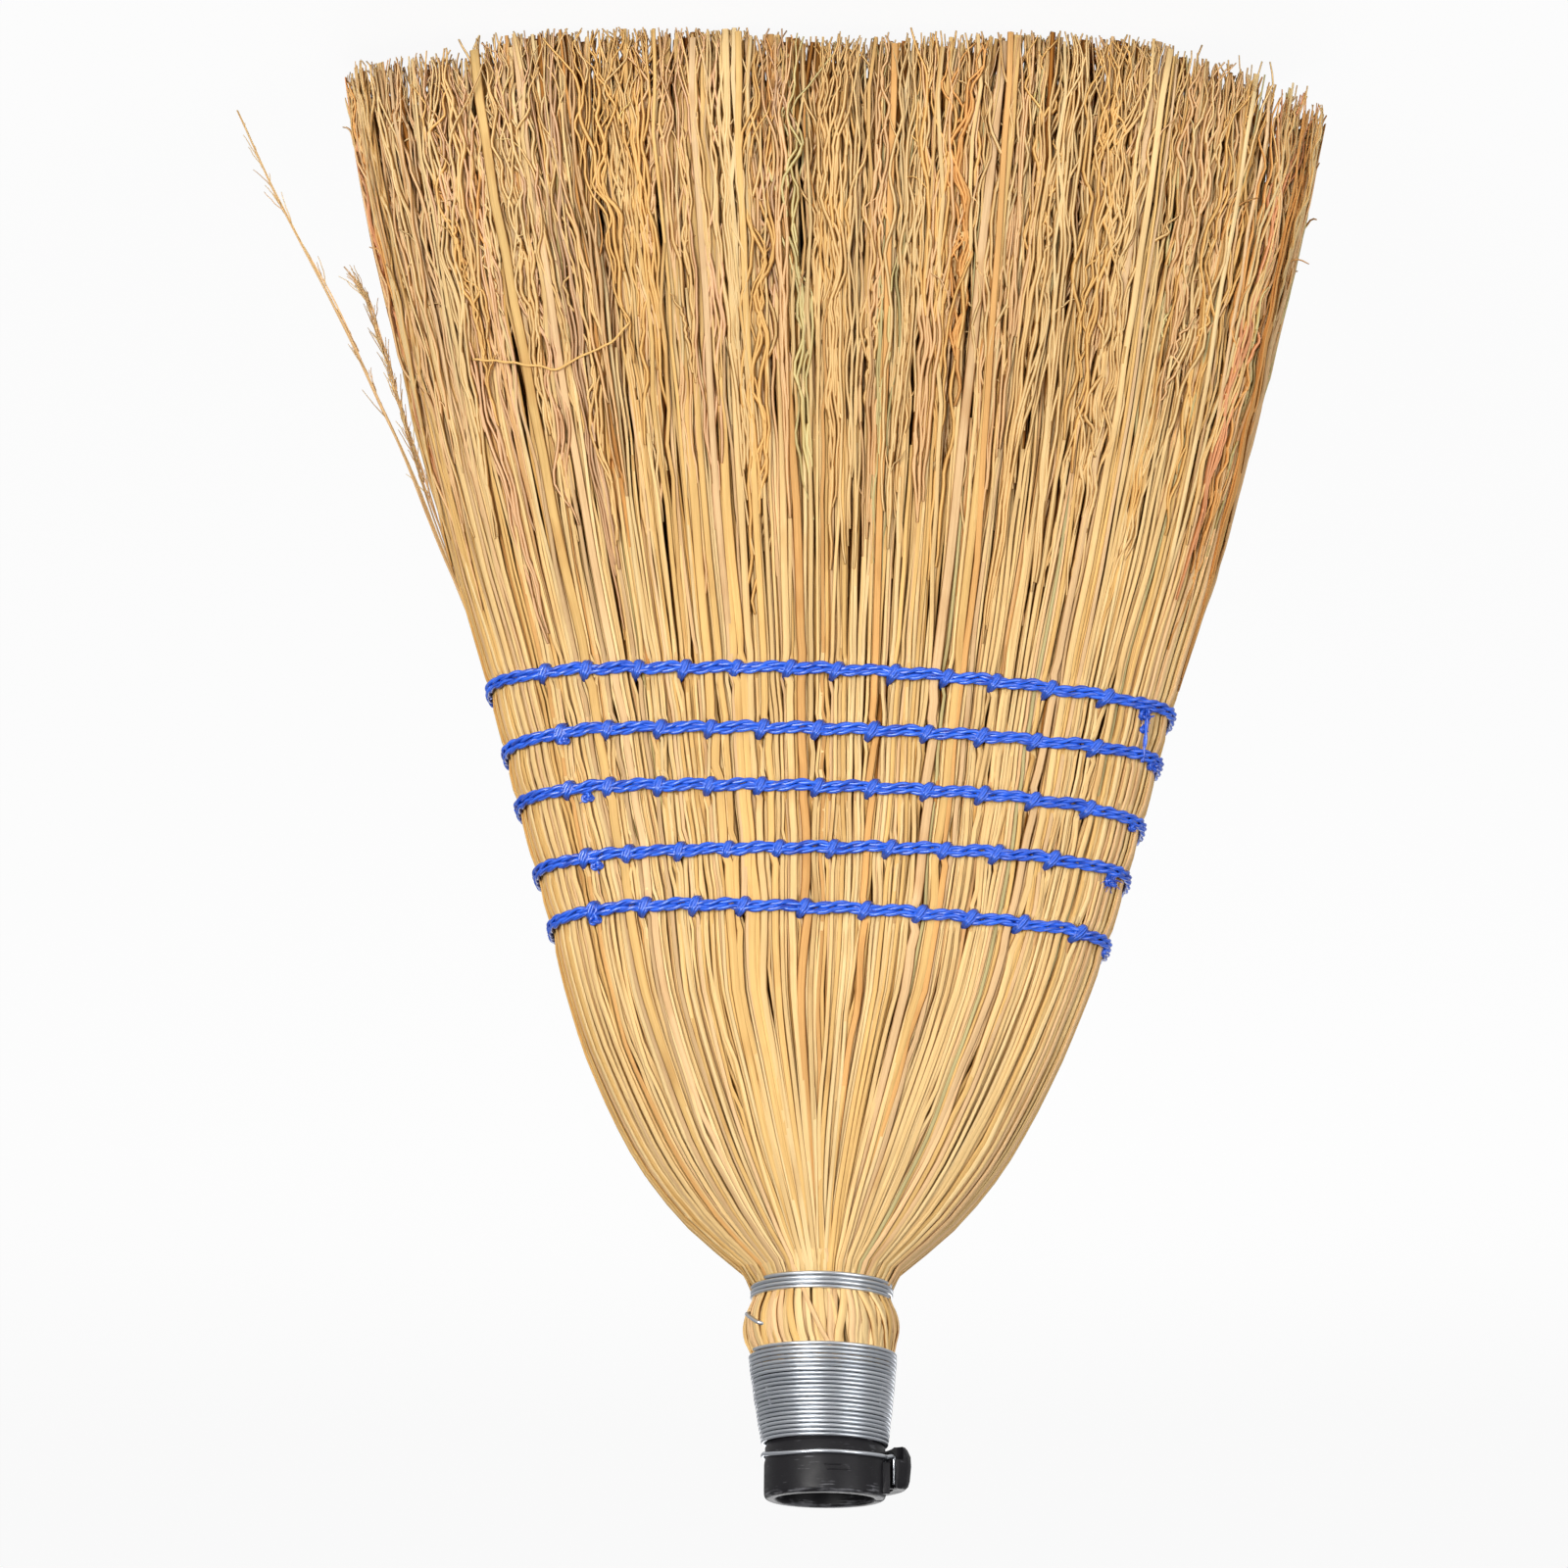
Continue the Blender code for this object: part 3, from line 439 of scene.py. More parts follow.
def lengths(points: Array) -> Array:
    """How far along a path each of its points lies."""
    return np.concatenate([[0], np.cumsum(np.linalg.norm(np.diff(points, axis=0), axis=1))])


def read_off(table: tuple, places: Array) -> Array:
    """The values of a table of (place, value) pairs at these places."""
    known, values = zip(*table, strict=True)
    return np.interp(places, known, values)


def eased(values: Array, reach: int, width: float) -> Array:
    """Evenly spaced values with corners eased by a bell-shaped window, its width in steps."""
    window = np.exp(-0.5 * (np.arange(-reach, reach + 1) / width) ** 2)
    return np.convolve(np.pad(values, reach, mode="edge"), window / window.sum(), mode="valid")


def wave(angle: Array, size: float, pace: float, phase: float) -> Array:
    """A wave along an angle."""
    return size * np.sin(angle * pace + phase)


def resampled(points: Array, step: float) -> Array:
    """A path at even steps, with its corners eased.

    Args:
        points: the path's (point, axis) places.
        step: the wanted distance between points.

    Returns:
        The new path.
    """
    length = lengths(points)
    places = np.linspace(0, length[-1], max(int(length[-1] / step), 4))
    path = np.stack([np.interp(places, length, points[:, axis]) for axis in range(3)], 1)
    for _ in range(2):
        path[1:-1] = 0.25 * path[:-2] + 0.5 * path[1:-1] + 0.25 * path[2:]
    return path


def raised(level: Array, z: Array) -> Array:
    """Level (..., 2) points with their heights added."""
    return np.concatenate([level, z[..., None]], -1)


def linked(name: str, data: bpy.types.Mesh) -> Object:
    """A new object in the scene."""
    obj = bpy.data.objects.new(name, data)
    bpy.context.scene.collection.objects.link(obj)
    return obj


def made(name: str, mesh: bmesh.types.BMesh) -> Object:
    """A new object in the scene from a bmesh, which is freed."""
    data = bpy.data.meshes.new(name)
    mesh.to_mesh(data)
    mesh.free()
    return linked(name, data)


def report(piece: Object, slot: Slot, body: Body, *nodes: str) -> None:
    """Let a piece ride on its body, hide the CAD nodes that it stands for, and log it.

    Args:
        piece: the piece.
        slot: its material slot; not used.
        body: the body that it moves with.
        *nodes: the CAD nodes that it replaces.
    """
    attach(piece, body.value)
    if nodes:
        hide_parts(*nodes)
    log.info("%s: %d triangles", piece.name, len(piece.data.loops) - 2 * len(piece.data.polygons))


# Strands


@dataclass
class Strands:
    """Many strands with the same number of points, as one bundle of thin tubes.

    The arrays hold (strand, point) or (strand, point, axis), in metres.
    """

    points: Array
    outward: Array
    across: Array
    through: Array
    tints: Array
    sides: int = 4
    flatness: float = 0.0
    # painted shade: the colour factor at the strand's sides and underneath
    edge: tuple = NO_EDGE

    grain_lift: ClassVar[float] = 0.6
    grain_gap: ClassVar[float] = 0.137

    @classmethod
    def in_mm(cls, points: Array, outward: Array, size: tuple, *look: object) -> "Strands":
        """A bundle from mm. The size is (half width, half thickness), the look starts with the tints."""
        across, through = size
        return cls(points * MM, outward, across * MM, through * MM, *look)

    def chosen(self, mask: Array) -> "Strands":
        """The strands that the mask keeps."""
        names = ("points", "outward", "across", "through", "tints")
        return replace(self, **{name: getattr(self, name)[mask] for name in names})

    def turns(self) -> tuple[Array, Array]:
        """The corners of a section of size one, with an edge on top of a triangle.

        Returns:
            Their sideways and outward shares.
        """
        start = 0.75 if self.sides == 3 else 0.5 * (self.flatness == 0)
        turn = 2 * np.pi * (np.arange(self.sides) + start) / self.sides
        cos = np.cos(turn)
        return np.sign(cos) * np.abs(cos) ** (1 - self.flatness), np.sin(turn)

    def shaded_corner_tints(self) -> Array:
        """The colour of every corner, with painted shade: drawn towards the edge colour at the sides and
        underneath.
        """
        depth = np.clip(1 - 2 * self.turns()[1], 0, 1)[:, None]
        return self.tints[:, :, None, :] * (1 - depth * (1 - np.array(self.edge)))

    def frames(self) -> tuple[Array, Array]:
        """The sideways and the outward direction of each section."""
        tangent = unit(np.gradient(self.points, axis=1))
        side = unit(np.cross(tangent, self.outward))
        return side, np.cross(side, tangent)

    def vertices(self) -> Array:
        """The corners of all sections, as (strand, point, side, axis)."""
        side, lift = self.frames()
        cos, sin = self.turns()
        spread = self.across[..., None, None] * cos[:, None] * side[:, :, None, :]
        height = self.through[..., None, None] * sin[:, None] * lift[:, :, None, :]
        return self.points[:, :, None, :] + spread + height

    def lay(self) -> Array:
        """Coordinates on the strand for the grain: round it, along it and the strand's own number."""
        steps = np.linalg.norm(np.diff(self.points, axis=1), axis=2)
        along = np.concatenate([np.zeros((len(steps), 1)), np.cumsum(steps, axis=1)], axis=1)
        cos, sin = self.turns()
        lay = np.empty((*self.points.shape[:2], self.sides, 3))
        lay[..., 0] = self.across[..., None] * (cos + self.grain_lift * sin)
        lay[..., 1] = along[..., None]
        lay[..., 2] = (self.grain_gap * np.arange(len(self.points)))[:, None, None]
        return lay

    def faces(self) -> tuple[Array, Array]:
        """The corner numbers of the side quads and of the end caps."""
        count, length = self.points.shape[:2]
        grid = np.arange(count * length * self.sides).reshape(count, length, self.sides)
        after = np.roll(grid, -1, axis=2)
        quads = np.stack([grid[:, :-1], grid[:, 1:], after[:, 1:], after[:, :-1]], axis=-1)
        caps = np.concatenate([grid[:, 0], grid[:, -1, ::-1]])
        return quads.reshape(-1, 4), caps


def round_strand(points: Array, radius: float, tint: tuple = NO_EDGE, sides: int = 8) -> Strands:
    """A single round strand, turned so that its frame never flips.

    Args:
        points: the (point, axis) path in mm.
        radius: its radius in mm.
        tint: its colour, or a factor on the finish's own.
        sides: how many sides its section has.

    Returns:
        A bundle of this one strand.
    """
    path = np.asarray(points, float)[None]
    tangent = unit(np.gradient(path, axis=1))
    up = np.where(np.abs(tangent[..., 2:]) > 0.9, np.array([1.0, 0, 0]), np.array([0, 0, 1.0]))
    width = np.full(path.shape[:2], radius)
    tints = np.broadcast_to(np.array(tint, float), path.shape).copy()
    return Strands.in_mm(path, up, (width, width), tints, sides)


def strand_mesh(name: str, bundles: list[Strands], material: Material) -> Object:
    """One object from several bundles of strands.

    Args:
        name: the piece's name.
        bundles: the bundles to join.
        material: the finish, which may read the attributes tint and lay.

    Returns:
        The new object, in place.
    """
    spots, tints, lays, corners, totals, smooth = [], [], [], [], [], []
    offset = 0
    for bundle in bundles:
        spots.append(bundle.vertices().reshape(-1, 3))
        lays.append(bundle.lay().reshape(-1, 3))
        tints.append(bundle.shaded_corner_tints().reshape(-1, 3))
        quads, caps = bundle.faces()
        corners += [quads.ravel() + offset, caps.ravel() + offset]
        totals += [np.full(len(quads), 4), np.full(len(caps), bundle.sides)]
        smooth += [np.ones(len(quads), bool), np.zeros(len(caps), bool)]
        offset += len(spots[-1])
    mesh = bpy.data.meshes.new(name)
    corners, totals = np.concatenate(corners), np.concatenate(totals)
    mesh.vertices.add(offset)
    mesh.vertices.foreach_set("co", np.concatenate(spots).astype(np.float32).ravel())
    mesh.loops.add(len(corners))
    mesh.loops.foreach_set("vertex_index", corners.astype(np.int32))
    mesh.polygons.add(len(totals))
    mesh.polygons.foreach_set("loop_start", (np.cumsum(totals) - totals).astype(np.int32))
    mesh.polygons.foreach_set("loop_total", totals.astype(np.int32))
    mesh.polygons.foreach_set("use_smooth", np.concatenate(smooth))
    colour = np.ones((offset, 4), np.float32)
    colour[:, :3] = np.concatenate(tints)
    mesh.attributes.new("tint", "FLOAT_COLOR", "POINT").data.foreach_set("color", colour.ravel())
    lay = np.concatenate(lays).astype(np.float32)
    mesh.attributes.new("lay", "FLOAT_VECTOR", "POINT").data.foreach_set("vector", lay.ravel())
    mesh.update(calc_edges=True)
    mesh.materials.append(material)
    return linked(name, mesh)


# Brush


@dataclass(frozen=True)
class BrushShape:
    """The outline of the brush, from the tips at z = 0 to the throat, as (height, size) pairs in mm."""

    half_widths: tuple = (
        (0, 132.6), (12, 130.6), (33, 126.6), (50, 123), (78, 116), (98, 111.5), (114, 107.5),
        (148, 98.5), (161, 94.3), (172, 90.8), (192, 85.3), (207, 81.5), (226, 76), (240, 72),
        (256, 67.3), (275, 60.5), (290, 53.5), (303, 46.3), (316, 36.1), (324, 27.2), (331, 17.6),
        (334, 16.7), (340, 16.7),
    )
    half_depths: tuple = (
        (0, 27), (60, 26), (120, 25.2), (165, 24.7), (240, 24.6), (275, 23.8), (298, 22.2),
        (314, 19.8), (324, 17.8), (331, 16.7), (334, 16.6), (340, 16.6),
    )
    centres: tuple = (
        (0, -1.7), (30, -1.1), (150, -1.1), (178, -1.0), (240, -1.0), (255, -0.2), (270, 0.5),
        (298, 1.2), (315, 1.3), (331, 1.1), (340, 1.1),
    )
    squareness: tuple = ((262, 2.7), (316, 2.0))
    tip_line: tuple = (
        (-134, 15.5), (-130, 14.5), (-126, 12.0), (-113, 8.0), (-105, 7), (-93, 4), (-84, 0.8),
        (-60, 0.3), (-20, 2.2), (0, 2.6), (18, 0.9), (40, 0.4), (68, 0.0), (89, 1.0), (97, 6.6),
        (101, 8.2), (105, 6.0), (120, 4.8), (134, 4.4),
    )
    root_z: float = 336.0
    easing: float = 2.6
    easing_reach: int = 9

    @cached_property
    def levels(self) -> Array:
        """Heights at which the eased outline is kept."""
        return np.arange(-4.0, 345.0, 1.0)

    def smoothed(self, table: tuple) -> Array:
        """A table's values on the kept heights, with its corners eased."""
        return eased(read_off(table, self.levels), self.easing_reach, self.easing)

    @cached_property
    def width_line(self) -> Array:
        """Half widths on the kept heights."""
        return self.smoothed(self.half_widths)

    @cached_property
    def depth_line(self) -> Array:
        """Half depths on the kept heights."""
        return self.smoothed(self.half_depths)

    @cached_property
    def centre_line(self) -> Array:
        """Where the middle of the width lies on the kept heights."""
        return self.smoothed(self.centres)

    def centre(self, z: Array) -> Array:
        """The middle of the width at a height."""
        return np.interp(z, self.levels, self.centre_line)

    def half_width(self, z: Array) -> Array:
        """Half width at a height."""
        return np.interp(z, self.levels, self.width_line)

    def half_depth(self, z: Array) -> Array:
        """Half depth at a height."""
        return np.interp(z, self.levels, self.depth_line)

    def power(self, z: Array) -> Array:
        """How square the section is at a height: higher is squarer."""
        return read_off(self.squareness, z)

    def skin(self, turn: Array, z: Array) -> tuple[Array, Array]:
        """A point on the brush's surface and the direction out of it, both level.

        Args:
            turn: the angle parameter of the section.
            z: the height in mm.

        Returns:
            The (..., 2) points in mm and the (..., 2) unit normals.
        """
        wide, deep, power = self.half_width(z), self.half_depth(z), self.power(z)
        cos, sin = np.cos(turn), np.sin(turn)
        x = wide * np.sign(cos) * np.abs(cos) ** (2 / power)
        y = deep * np.sign(sin) * np.abs(sin) ** (2 / power)
        slope_x = np.sign(x) * np.abs(x / wide) ** (power - 1) / wide
        slope_y = np.sign(y) * np.abs(y / deep) ** (power - 1) / deep
        return np.stack([x + self.centre(z), y], -1), unit(np.stack([slope_x, slope_y], -1))

    def even_turns(self, shares: Array, z: float = 215.0) -> Array:
        """Angle parameters at shares of the section's perimeter.

        Args:
            shares: shares of it, counted from +X through +Y.
            z: the height of the section, in mm.

        Returns:
            As many angle parameters.
        """
        fine = np.linspace(0, 2 * np.pi, 4001)
        length = lengths(self.skin(fine, np.full_like(fine, z))[0])
        return np.interp(np.mod(shares, 1.0) * length[-1], length, fine)

    def turn_at(self, x: Array, z: Array, face: int) -> Array:
        """The angle parameter of a place across the width.

        Args:
            x: the place in mm.
            z: its height in mm.
            face: -1 on the front, 1 on the back.

        Returns:
            The angle parameters.
        """
        level = x - self.centre(z)
        share = np.minimum(np.abs(level) / self.half_width(z), 1)
        cos = np.sign(level) * share ** (self.power(z) / 2)
        return face * np.arccos(np.clip(cos, -1, 1))

    def tips(self, turn: Array, reach: Array | float = 1.0) -> Array:
        """The trimmed height of the tips, for strands that reach this share of the way out."""
        end_x = self.skin(turn, np.zeros_like(turn))[0][..., 0] * reach
        return read_off(self.tip_line, end_x)


@dataclass(frozen=True)
class StitchPlan:
    """Where the rows and their stitches lie. Places in mm, a row's heights from its +X end."""

    places: tuple = (-77.0, -64.3, -39.0, -13.7, 11.6, 36.9, 62.2, 70.0, 82.5)
    heights: tuple = (
        (184.1, 183.6, 181.5, 179.7, 178.8, 178.9, 178.3, 178.2, 178.3),
        (197.2, 197.5, 196.4, 195.4, 194.9, 194.8, 194.3, 194.6, 195.6),
        (214.2, 213.4, 211.7, 210.7, 210.2, 210.0, 209.4, 209.5, 210.2),
        (228.0, 227.9, 226.9, 226.3, 226.6, 227.1, 227.5, 227.8, 228.4),
        (245.8, 245.6, 244.3, 242.7, 241.8, 241.2, 241.2, 242.0, 242.6),
    )
    stitches: tuple = (
        (72.0, 61.3, 48.3, 36.6, 23.6, 10.2, -1.6, -16.0, -29.5, -41.7, -55.9, -70.7),
        (68.1, 56.0, 42.8, 30.1, 17.0, 3.1, -10.6, -24.5, -38.4, -52.1, -67.8),
        (65.4, 55.2, 42.6, 30.0, 17.3, 3.0, -10.6, -24.5, -38.4, -51.5, -65.8),
        (61.6, 50.7, 37.6, 25.4, 12.7, -0.8, -15.1, -28.9, -42.0, -56.3),
        (58.7, 45.7, 33.2, 21.4, 6.4, -8.8, -22.5, -35.1, -48.1, -63.1),
    )
    pinch: float = 1.15
    pinch_width: float = 2.2
    pinch_height: float = 6.4
    pinch_ease: float = 0.25
    slant: float = 1.6
    slant_ease: float = 2.5
    dimple: float = 0.85
    dimple_width: float = 1.1
    pull: float = 0.95
    pull_height: float = 2.4

    def row_height(self, row: int, x: Array) -> Array:
        """The height of a row across the width."""
        return np.interp(x, self.places, self.heights[row])

    def pull_in(self, x: Array, z: Array) -> Array:
        """How far the bands of twine draw the straw in.

        Args:
            x: places across the width.
            z: heights.

        Returns:
            The pull at each place, in mm.
        """
        total = np.zeros_like(x)
        for row in range(len(self.heights)):
            total += self.pull * np.exp(-(((z - self.row_height(row, x)) / self.pull_height) ** 2))
        return total

    def part(self, x: Array, z: Array) -> tuple[Array, Array]:
        """How the stitches part the straw.

        Args:
            x: places across the width.
            z: heights.

        Returns:
            The sideways shift away from the nearby stitches and the pull inwards at them.
        """
        shift, sink = np.zeros_like(x), np.zeros_like(x)
        for row, places in enumerate(self.stitches):
            above = (z - self.row_height(row, x)) / self.pinch_height
            near_row = np.exp(-(above**2))
            slide = self.slant * np.clip(above * self.slant_ease, -1, 1)
            for place in places:
                gap = x - place - slide
                near = near_row * np.exp(-np.abs(gap) / self.pinch_width)
                shift += self.pinch * np.tanh(gap / self.pinch_ease) * near
                sink += self.dimple * near_row * np.exp(-((gap / self.dimple_width) ** 2))
        return shift, sink


@dataclass(frozen=True)
class StalkLayer:
    """One layer of stalks under the brush's skin. Sizes in mm.

    full_to_tip is the share of its stalks that reach the tips, sway a factor on their loose waves,
    and places puts the first ones at these places across the front.
    """

    count: int
    depth: tuple
    root_depth: tuple
    half_width: tuple
    # painted shade: below 1 darkens and browns the layer's colour, for layers deep in the brush
    darkness: float
    full_to_tip: float
    root_swell: float
    steps: int
    sides: int = 6
    places: tuple = ()
    sway: float = 1.0
    colours: Palette = STALK_COLOURS


@dataclass(frozen=True)
class BranchLayer:
    """One layer of fine seed branches in the loose part of the brush. Sizes in mm.

    start is how high its tufts begin, and curls the share of branches whose ends curl.
    """

    tufts: int
    depth: tuple
    radius: tuple
    start: tuple
    kink: float
    # painted light and shade: below 1 darkens and browns deep layers, above 1 brightens the front ones
    darkness: float
    curls: float
    steps: int
    twigs: int = 0
    per_tuft: int = 6


class Brush:
    """The straw of the broom head: stalks, seed branches and the stems of the middle."""

    stalk_layers: tuple[StalkLayer, ...] = (
        StalkLayer(
            28, (-0.3, 0.1), (0.4, 1.2), (0.80, 1.35), 1.0, 1.0, 0.6, 46, sway=0.25,
            places=(42.0, 37.5, 34.0, 30.5, 25.0, 16.0, -48.0), colours=BROAD_COLOURS,
        ),
        StalkLayer(150, (0.0, 0.5), (0.0, 0.8), (0.46, 0.70), 1.0, 0.22, 1.15, 48),
        StalkLayer(380, (0.3, 0.8), (0.9, 1.7), (0.38, 0.60), 0.98, 0.15, 1.0, 43),
        StalkLayer(330, (0.8, 1.4), (1.7, 2.4), (0.42, 0.66), 0.88, 0.15, 1.0, 34),
        StalkLayer(220, (1.8, 3.6), (2.5, 3.9), (0.60, 0.95), 0.56, 0.45, 1.0, 32, sides=4),
    )
    branch_layers: tuple[BranchLayer, ...] = (
        BranchLayer(240, (-0.8, 1.5), (0.48, 0.74), (94, 180), 0.66, 1.32, 0.05, 42, 300),
        BranchLayer(180, (1.2, 4.0), (0.48, 0.72), (90, 170), 0.60, 1.16, 0.03, 34, 200),
        BranchLayer(105, (4.0, 9.0), (0.50, 0.76), (60, 150), 0.60, 0.60, 0.0, 20),
    )
    fibre_line: tuple = (
        (93.4, 92.5), (86.6, 94.0), (78.2, 96.0), (70.0, 96.7), (64.3, 93.6), (60.8, 91.9),
        (56.1, 88.5), (52.7, 84.0),
    )
    # painted light and shade by height, a factor on the straw's colour: brighter at the tips, which the floor
    # shades, dimmer in the middle and at the throat
    levels_of_light: tuple = ((0, 1.06), (22, 1.0), (60, 0.91), (90, 0.88), (245, 0.93), (285, 0.87))
    splits: tuple = (
        (0.806, 276, 9), (0.755, 281, 10), (0.022, 272, 16), (-0.626, 284, 7), (-0.82, 300, 6),
        (0.864, 261, 7), (-0.10, 267, 10), (0.405, 286, 11), (-0.36, 273, 9), (0.22, 262, 8),
        (-0.5, 296, 8), (0.58, 298, 9),
    )

    def __init__(self, shape: BrushShape, plan: StitchPlan) -> None:
        """Keep the outline and the stitching, and make the straw's finish."""
        self.shape = shape
        self.plan = plan
        self.rng = np.random.default_rng(SEED)
        self.material = StrawFinish().material("straw")

    def place(
        self, turn: Array, drift: Array, depth: Array, z: Array
    ) -> tuple[Array, Array]:
        """Points at a depth under the skin, moved sideways along it and gathered by the stitches.

        Args:
            turn: angle parameters, one for each strand, as (strand, 1).
            drift: sideways shift at each point, in mm.
            depth: depth at each point, in mm.
            z: height of each point, in mm.

        Returns:
            The (strand, point, 3) points and outward directions, in mm.
        """
        turns = np.broadcast_to(turn, z.shape)
        spot, normal = self.shape.skin(turns, z)
        along = np.stack([-normal[..., 1], normal[..., 0]], -1)
        spot = spot - normal * depth[..., None] + along * drift[..., None]
        shallow = np.exp(-np.maximum(depth, 0) / 6.0)
        flat = np.abs(normal[..., 1])
        shift, sink = self.plan.part(spot[..., 0], z)
        shift += self.split(spot[..., 0], z)
        pull = self.plan.pull_in(spot[..., 0], z) + sink * flat
        spot[..., 0] += shift * flat * shallow
        spot -= normal * (pull * shallow)[..., None]
        reach, middle = self.shape.half_width(z) + 1.5, self.shape.centre(z)
        spot[..., 0] = np.clip(spot[..., 0], middle - reach, middle + reach)
        return raised(spot, z), raised(normal, np.zeros_like(z))

    def split(self, x: Array, z: Array) -> Array:
        """How far the open splits in the fan push the straw aside.

        Args:
            x: places across the width.
            z: heights.

        Returns:
            The shift in mm.
        """
        wide = self.shape.half_width(z)
        across = (x - self.shape.centre(z)) / wide
        shift = np.zeros_like(x)
        for place, height, length in self.splits:
            gap = (across - place) * wide
            near = np.exp(-(((z - height) / length) ** 2)) * np.exp(-np.abs(gap) / 1.8)
            shift += np.tanh(gap / 0.3) * near
        return shift

    def wander(self, count: int, z: Array, size: float, length: tuple) -> Array:
        """Slow sideways waves of each strand.

        Args:
            count: how many strands.
            z: their heights.
            size: how large, in mm.
            length: the least and greatest wavelength.

        Returns:
            The shift in mm.
        """
        waves = np.zeros(z.shape)
        for _ in range(2):
            wavelength = self.rng.uniform(*length, (count, 1))
            phase = self.rng.uniform(0, 2 * np.pi, (count, 1))
            waves += self.rng.normal(0, size, (count, 1)) * np.sin(2 * np.pi * z / wavelength + phase)
        return waves

    def stalks(self, layer: StalkLayer) -> tuple[Strands, Array]:
        """The stalks of one layer, all the way round.

        Args:
            layer: the layer.

        Returns:
            The stalks and the angle parameter of each.
        """
        rng, shape, count = self.rng, self.shape, layer.count
        shares = (np.arange(count) + rng.uniform(0.05, 0.95, count)) / count
        turn = shape.even_turns(shares)
        places = np.array(layer.places)
        turn[: len(places)] = shape.turn_at(places, np.zeros(len(places)), -1)
        turn = turn[:, None]
        full = rng.random((count, 1)) < layer.full_to_tip
        tip = shape.tips(turn) + np.abs(rng.normal(0, 1.8, (count, 1)))
        early = rng.uniform(15, 120, (count, 1)) * (rng.random((count, 1)) < 0.62)
        tip = np.where(full, tip, tip + early)
        root = shape.root_z + rng.uniform(-1.5, 0.5, (count, 1))
        z = self.levels(root, tip, layer.steps)
        loose = np.clip((168 - z) / 168, 0, 1)
        high = np.clip((z - 250) / 80, 0, 1)
        drift = rng.normal(0, 4.0, (count, 1)) * loose**1.2
        drift += rng.normal(0, 0.5, (count, 1)) * high * (1 - high) * 3
        drift[: len(places)] *= 0.2
        slow, quick = self.wander(count, z, 0.16, (60, 130)), self.wander(count, z, 0.7, (20, 52))
        drift += slow + quick * loose * layer.sway
        held = rng.uniform(*layer.depth, (count, 1))
        at_root = rng.uniform(*layer.root_depth, (count, 1))
        depth = held + (at_root - held) * np.clip((z - 268) / 55, 0, 1) ** 0.8
        depth = np.maximum(depth + rng.normal(0, 1.2, (count, 1)) * loose, -0.9)
        points, outward = self.place(turn, drift, depth, z)
        half = rng.uniform(*layer.half_width, (count, 1))
        swell = np.interp(z, (255, 328), (1.0, layer.root_swell))
        taper = np.where(full, 1.0, np.interp(loose, (0, 0.4, 1), (1.0, 0.8, 0.5)))
        across = half * swell * taper
        through = half * taper * rng.uniform(0.3, 0.5, (count, 1))
        # painted shade: tinted darkens deep layers, and the stalks darken at their sides and underneath
        tints = self.tinted(layer.colours.pick(rng, count), z, layer.darkness)
        size = (across, through)
        return Strands.in_mm(points, outward, size, tints, layer.sides, 0.5, DARK_EDGE_SHADE), turn[:, 0]

    @staticmethod
    def levels(root: Array, tip: Array, steps: int) -> Array:
        """Heights along each stalk, close together where the stitches pinch it.

        Args:
            root: the height of its root.
            tip: the height of its tip.
            steps: how many points.

        Returns:
            The (strand, point) heights.
        """
        sewn = np.linspace(252, 170, steps - 26)[None] * np.ones_like(root)
        fan = root + (257 - root) * np.linspace(0, 1, 14)[None]
        loose = 164 + (tip - 164) * np.linspace(0, 1, 12)[None]
        return np.concatenate([fan, sewn, loose], axis=1)

    def tinted(self, colours: Array, z: Array, darkness: float) -> Array:
        """Colours along strands: paler and less yellow at the tips, with painted light and shade by height
        and by layer.

        Args:
            colours: the (strand, 3) colours.
            z: the heights.
            darkness: a factor of painted shade, less than 1 in shade, which also browns the colour.

        Returns:
            The (strand, point, 3) colours.
        """
        tips = np.clip((150 - z) / 150, 0, 1)[..., None]
        pale = 1 + tips * (np.array([1.0, 1.08, 1.22]) - 1)
        # painted light and shade by height
        level = read_off(self.levels_of_light, z)[..., None]
        ripple = 1 + 0.05 * np.sin(z / 9.0 + 40 * colours[:, :1])[..., None]
        # painted shade: layers with darkness under 1 are darker and browner
        shade = np.array([1.05, 0.36, 0.06]) ** max(1 - darkness, 0) * darkness
        tinted = colours[:, None, :] * pale * ripple * shade
        return level * tinted / np.maximum(tinted.max(-1, keepdims=True) / 0.93, 1)

    def tufts(self, layer: BranchLayer) -> tuple[Strands, Array]:
        """Fine kinked branches that grow in tufts.

        Args:
            layer: the layer.

        Returns:
            The branches and the angle parameter of each.
        """
        rng, shape = self.rng, self.shape
        count = layer.tufts * layer.per_tuft
        tuft = np.repeat(np.arange(layer.tufts), layer.per_tuft)
        place = np.tile(np.arange(layer.per_tuft) - (layer.per_tuft - 1) / 2, layer.tufts)[:, None]
        shares = (np.arange(layer.tufts) + rng.uniform(0, 1, layer.tufts)) / layer.tufts
        shares = np.interp(shares, (0, 0.41, 1), (0, 0.5, 1))
        turn = shape.even_turns(shares)[tuft][:, None]
        tip = shape.tips(turn) + np.abs(rng.normal(0, 2.0, (count, 1)))
        tip = tip + np.abs(rng.normal(0, 2.6, layer.tufts))[tuft][:, None] - 2.0
        short = rng.random((count, 1)) < 0.22
        tip = np.maximum(tip, 0.3) + short * rng.uniform(4, 70, (count, 1))
        top = rng.uniform(*layer.start, layer.tufts)[tuft][:, None]
        start = np.maximum(top - rng.uniform(0, 45, (count, 1)), tip + 22)
        t = np.linspace(0, 1, layer.steps)[None]
        z = start + (tip - start) * t
        loose = np.clip((172 - z) / 172, 0, 1)
        group = rng.normal(0, 6.5, layer.tufts)[tuft][:, None]
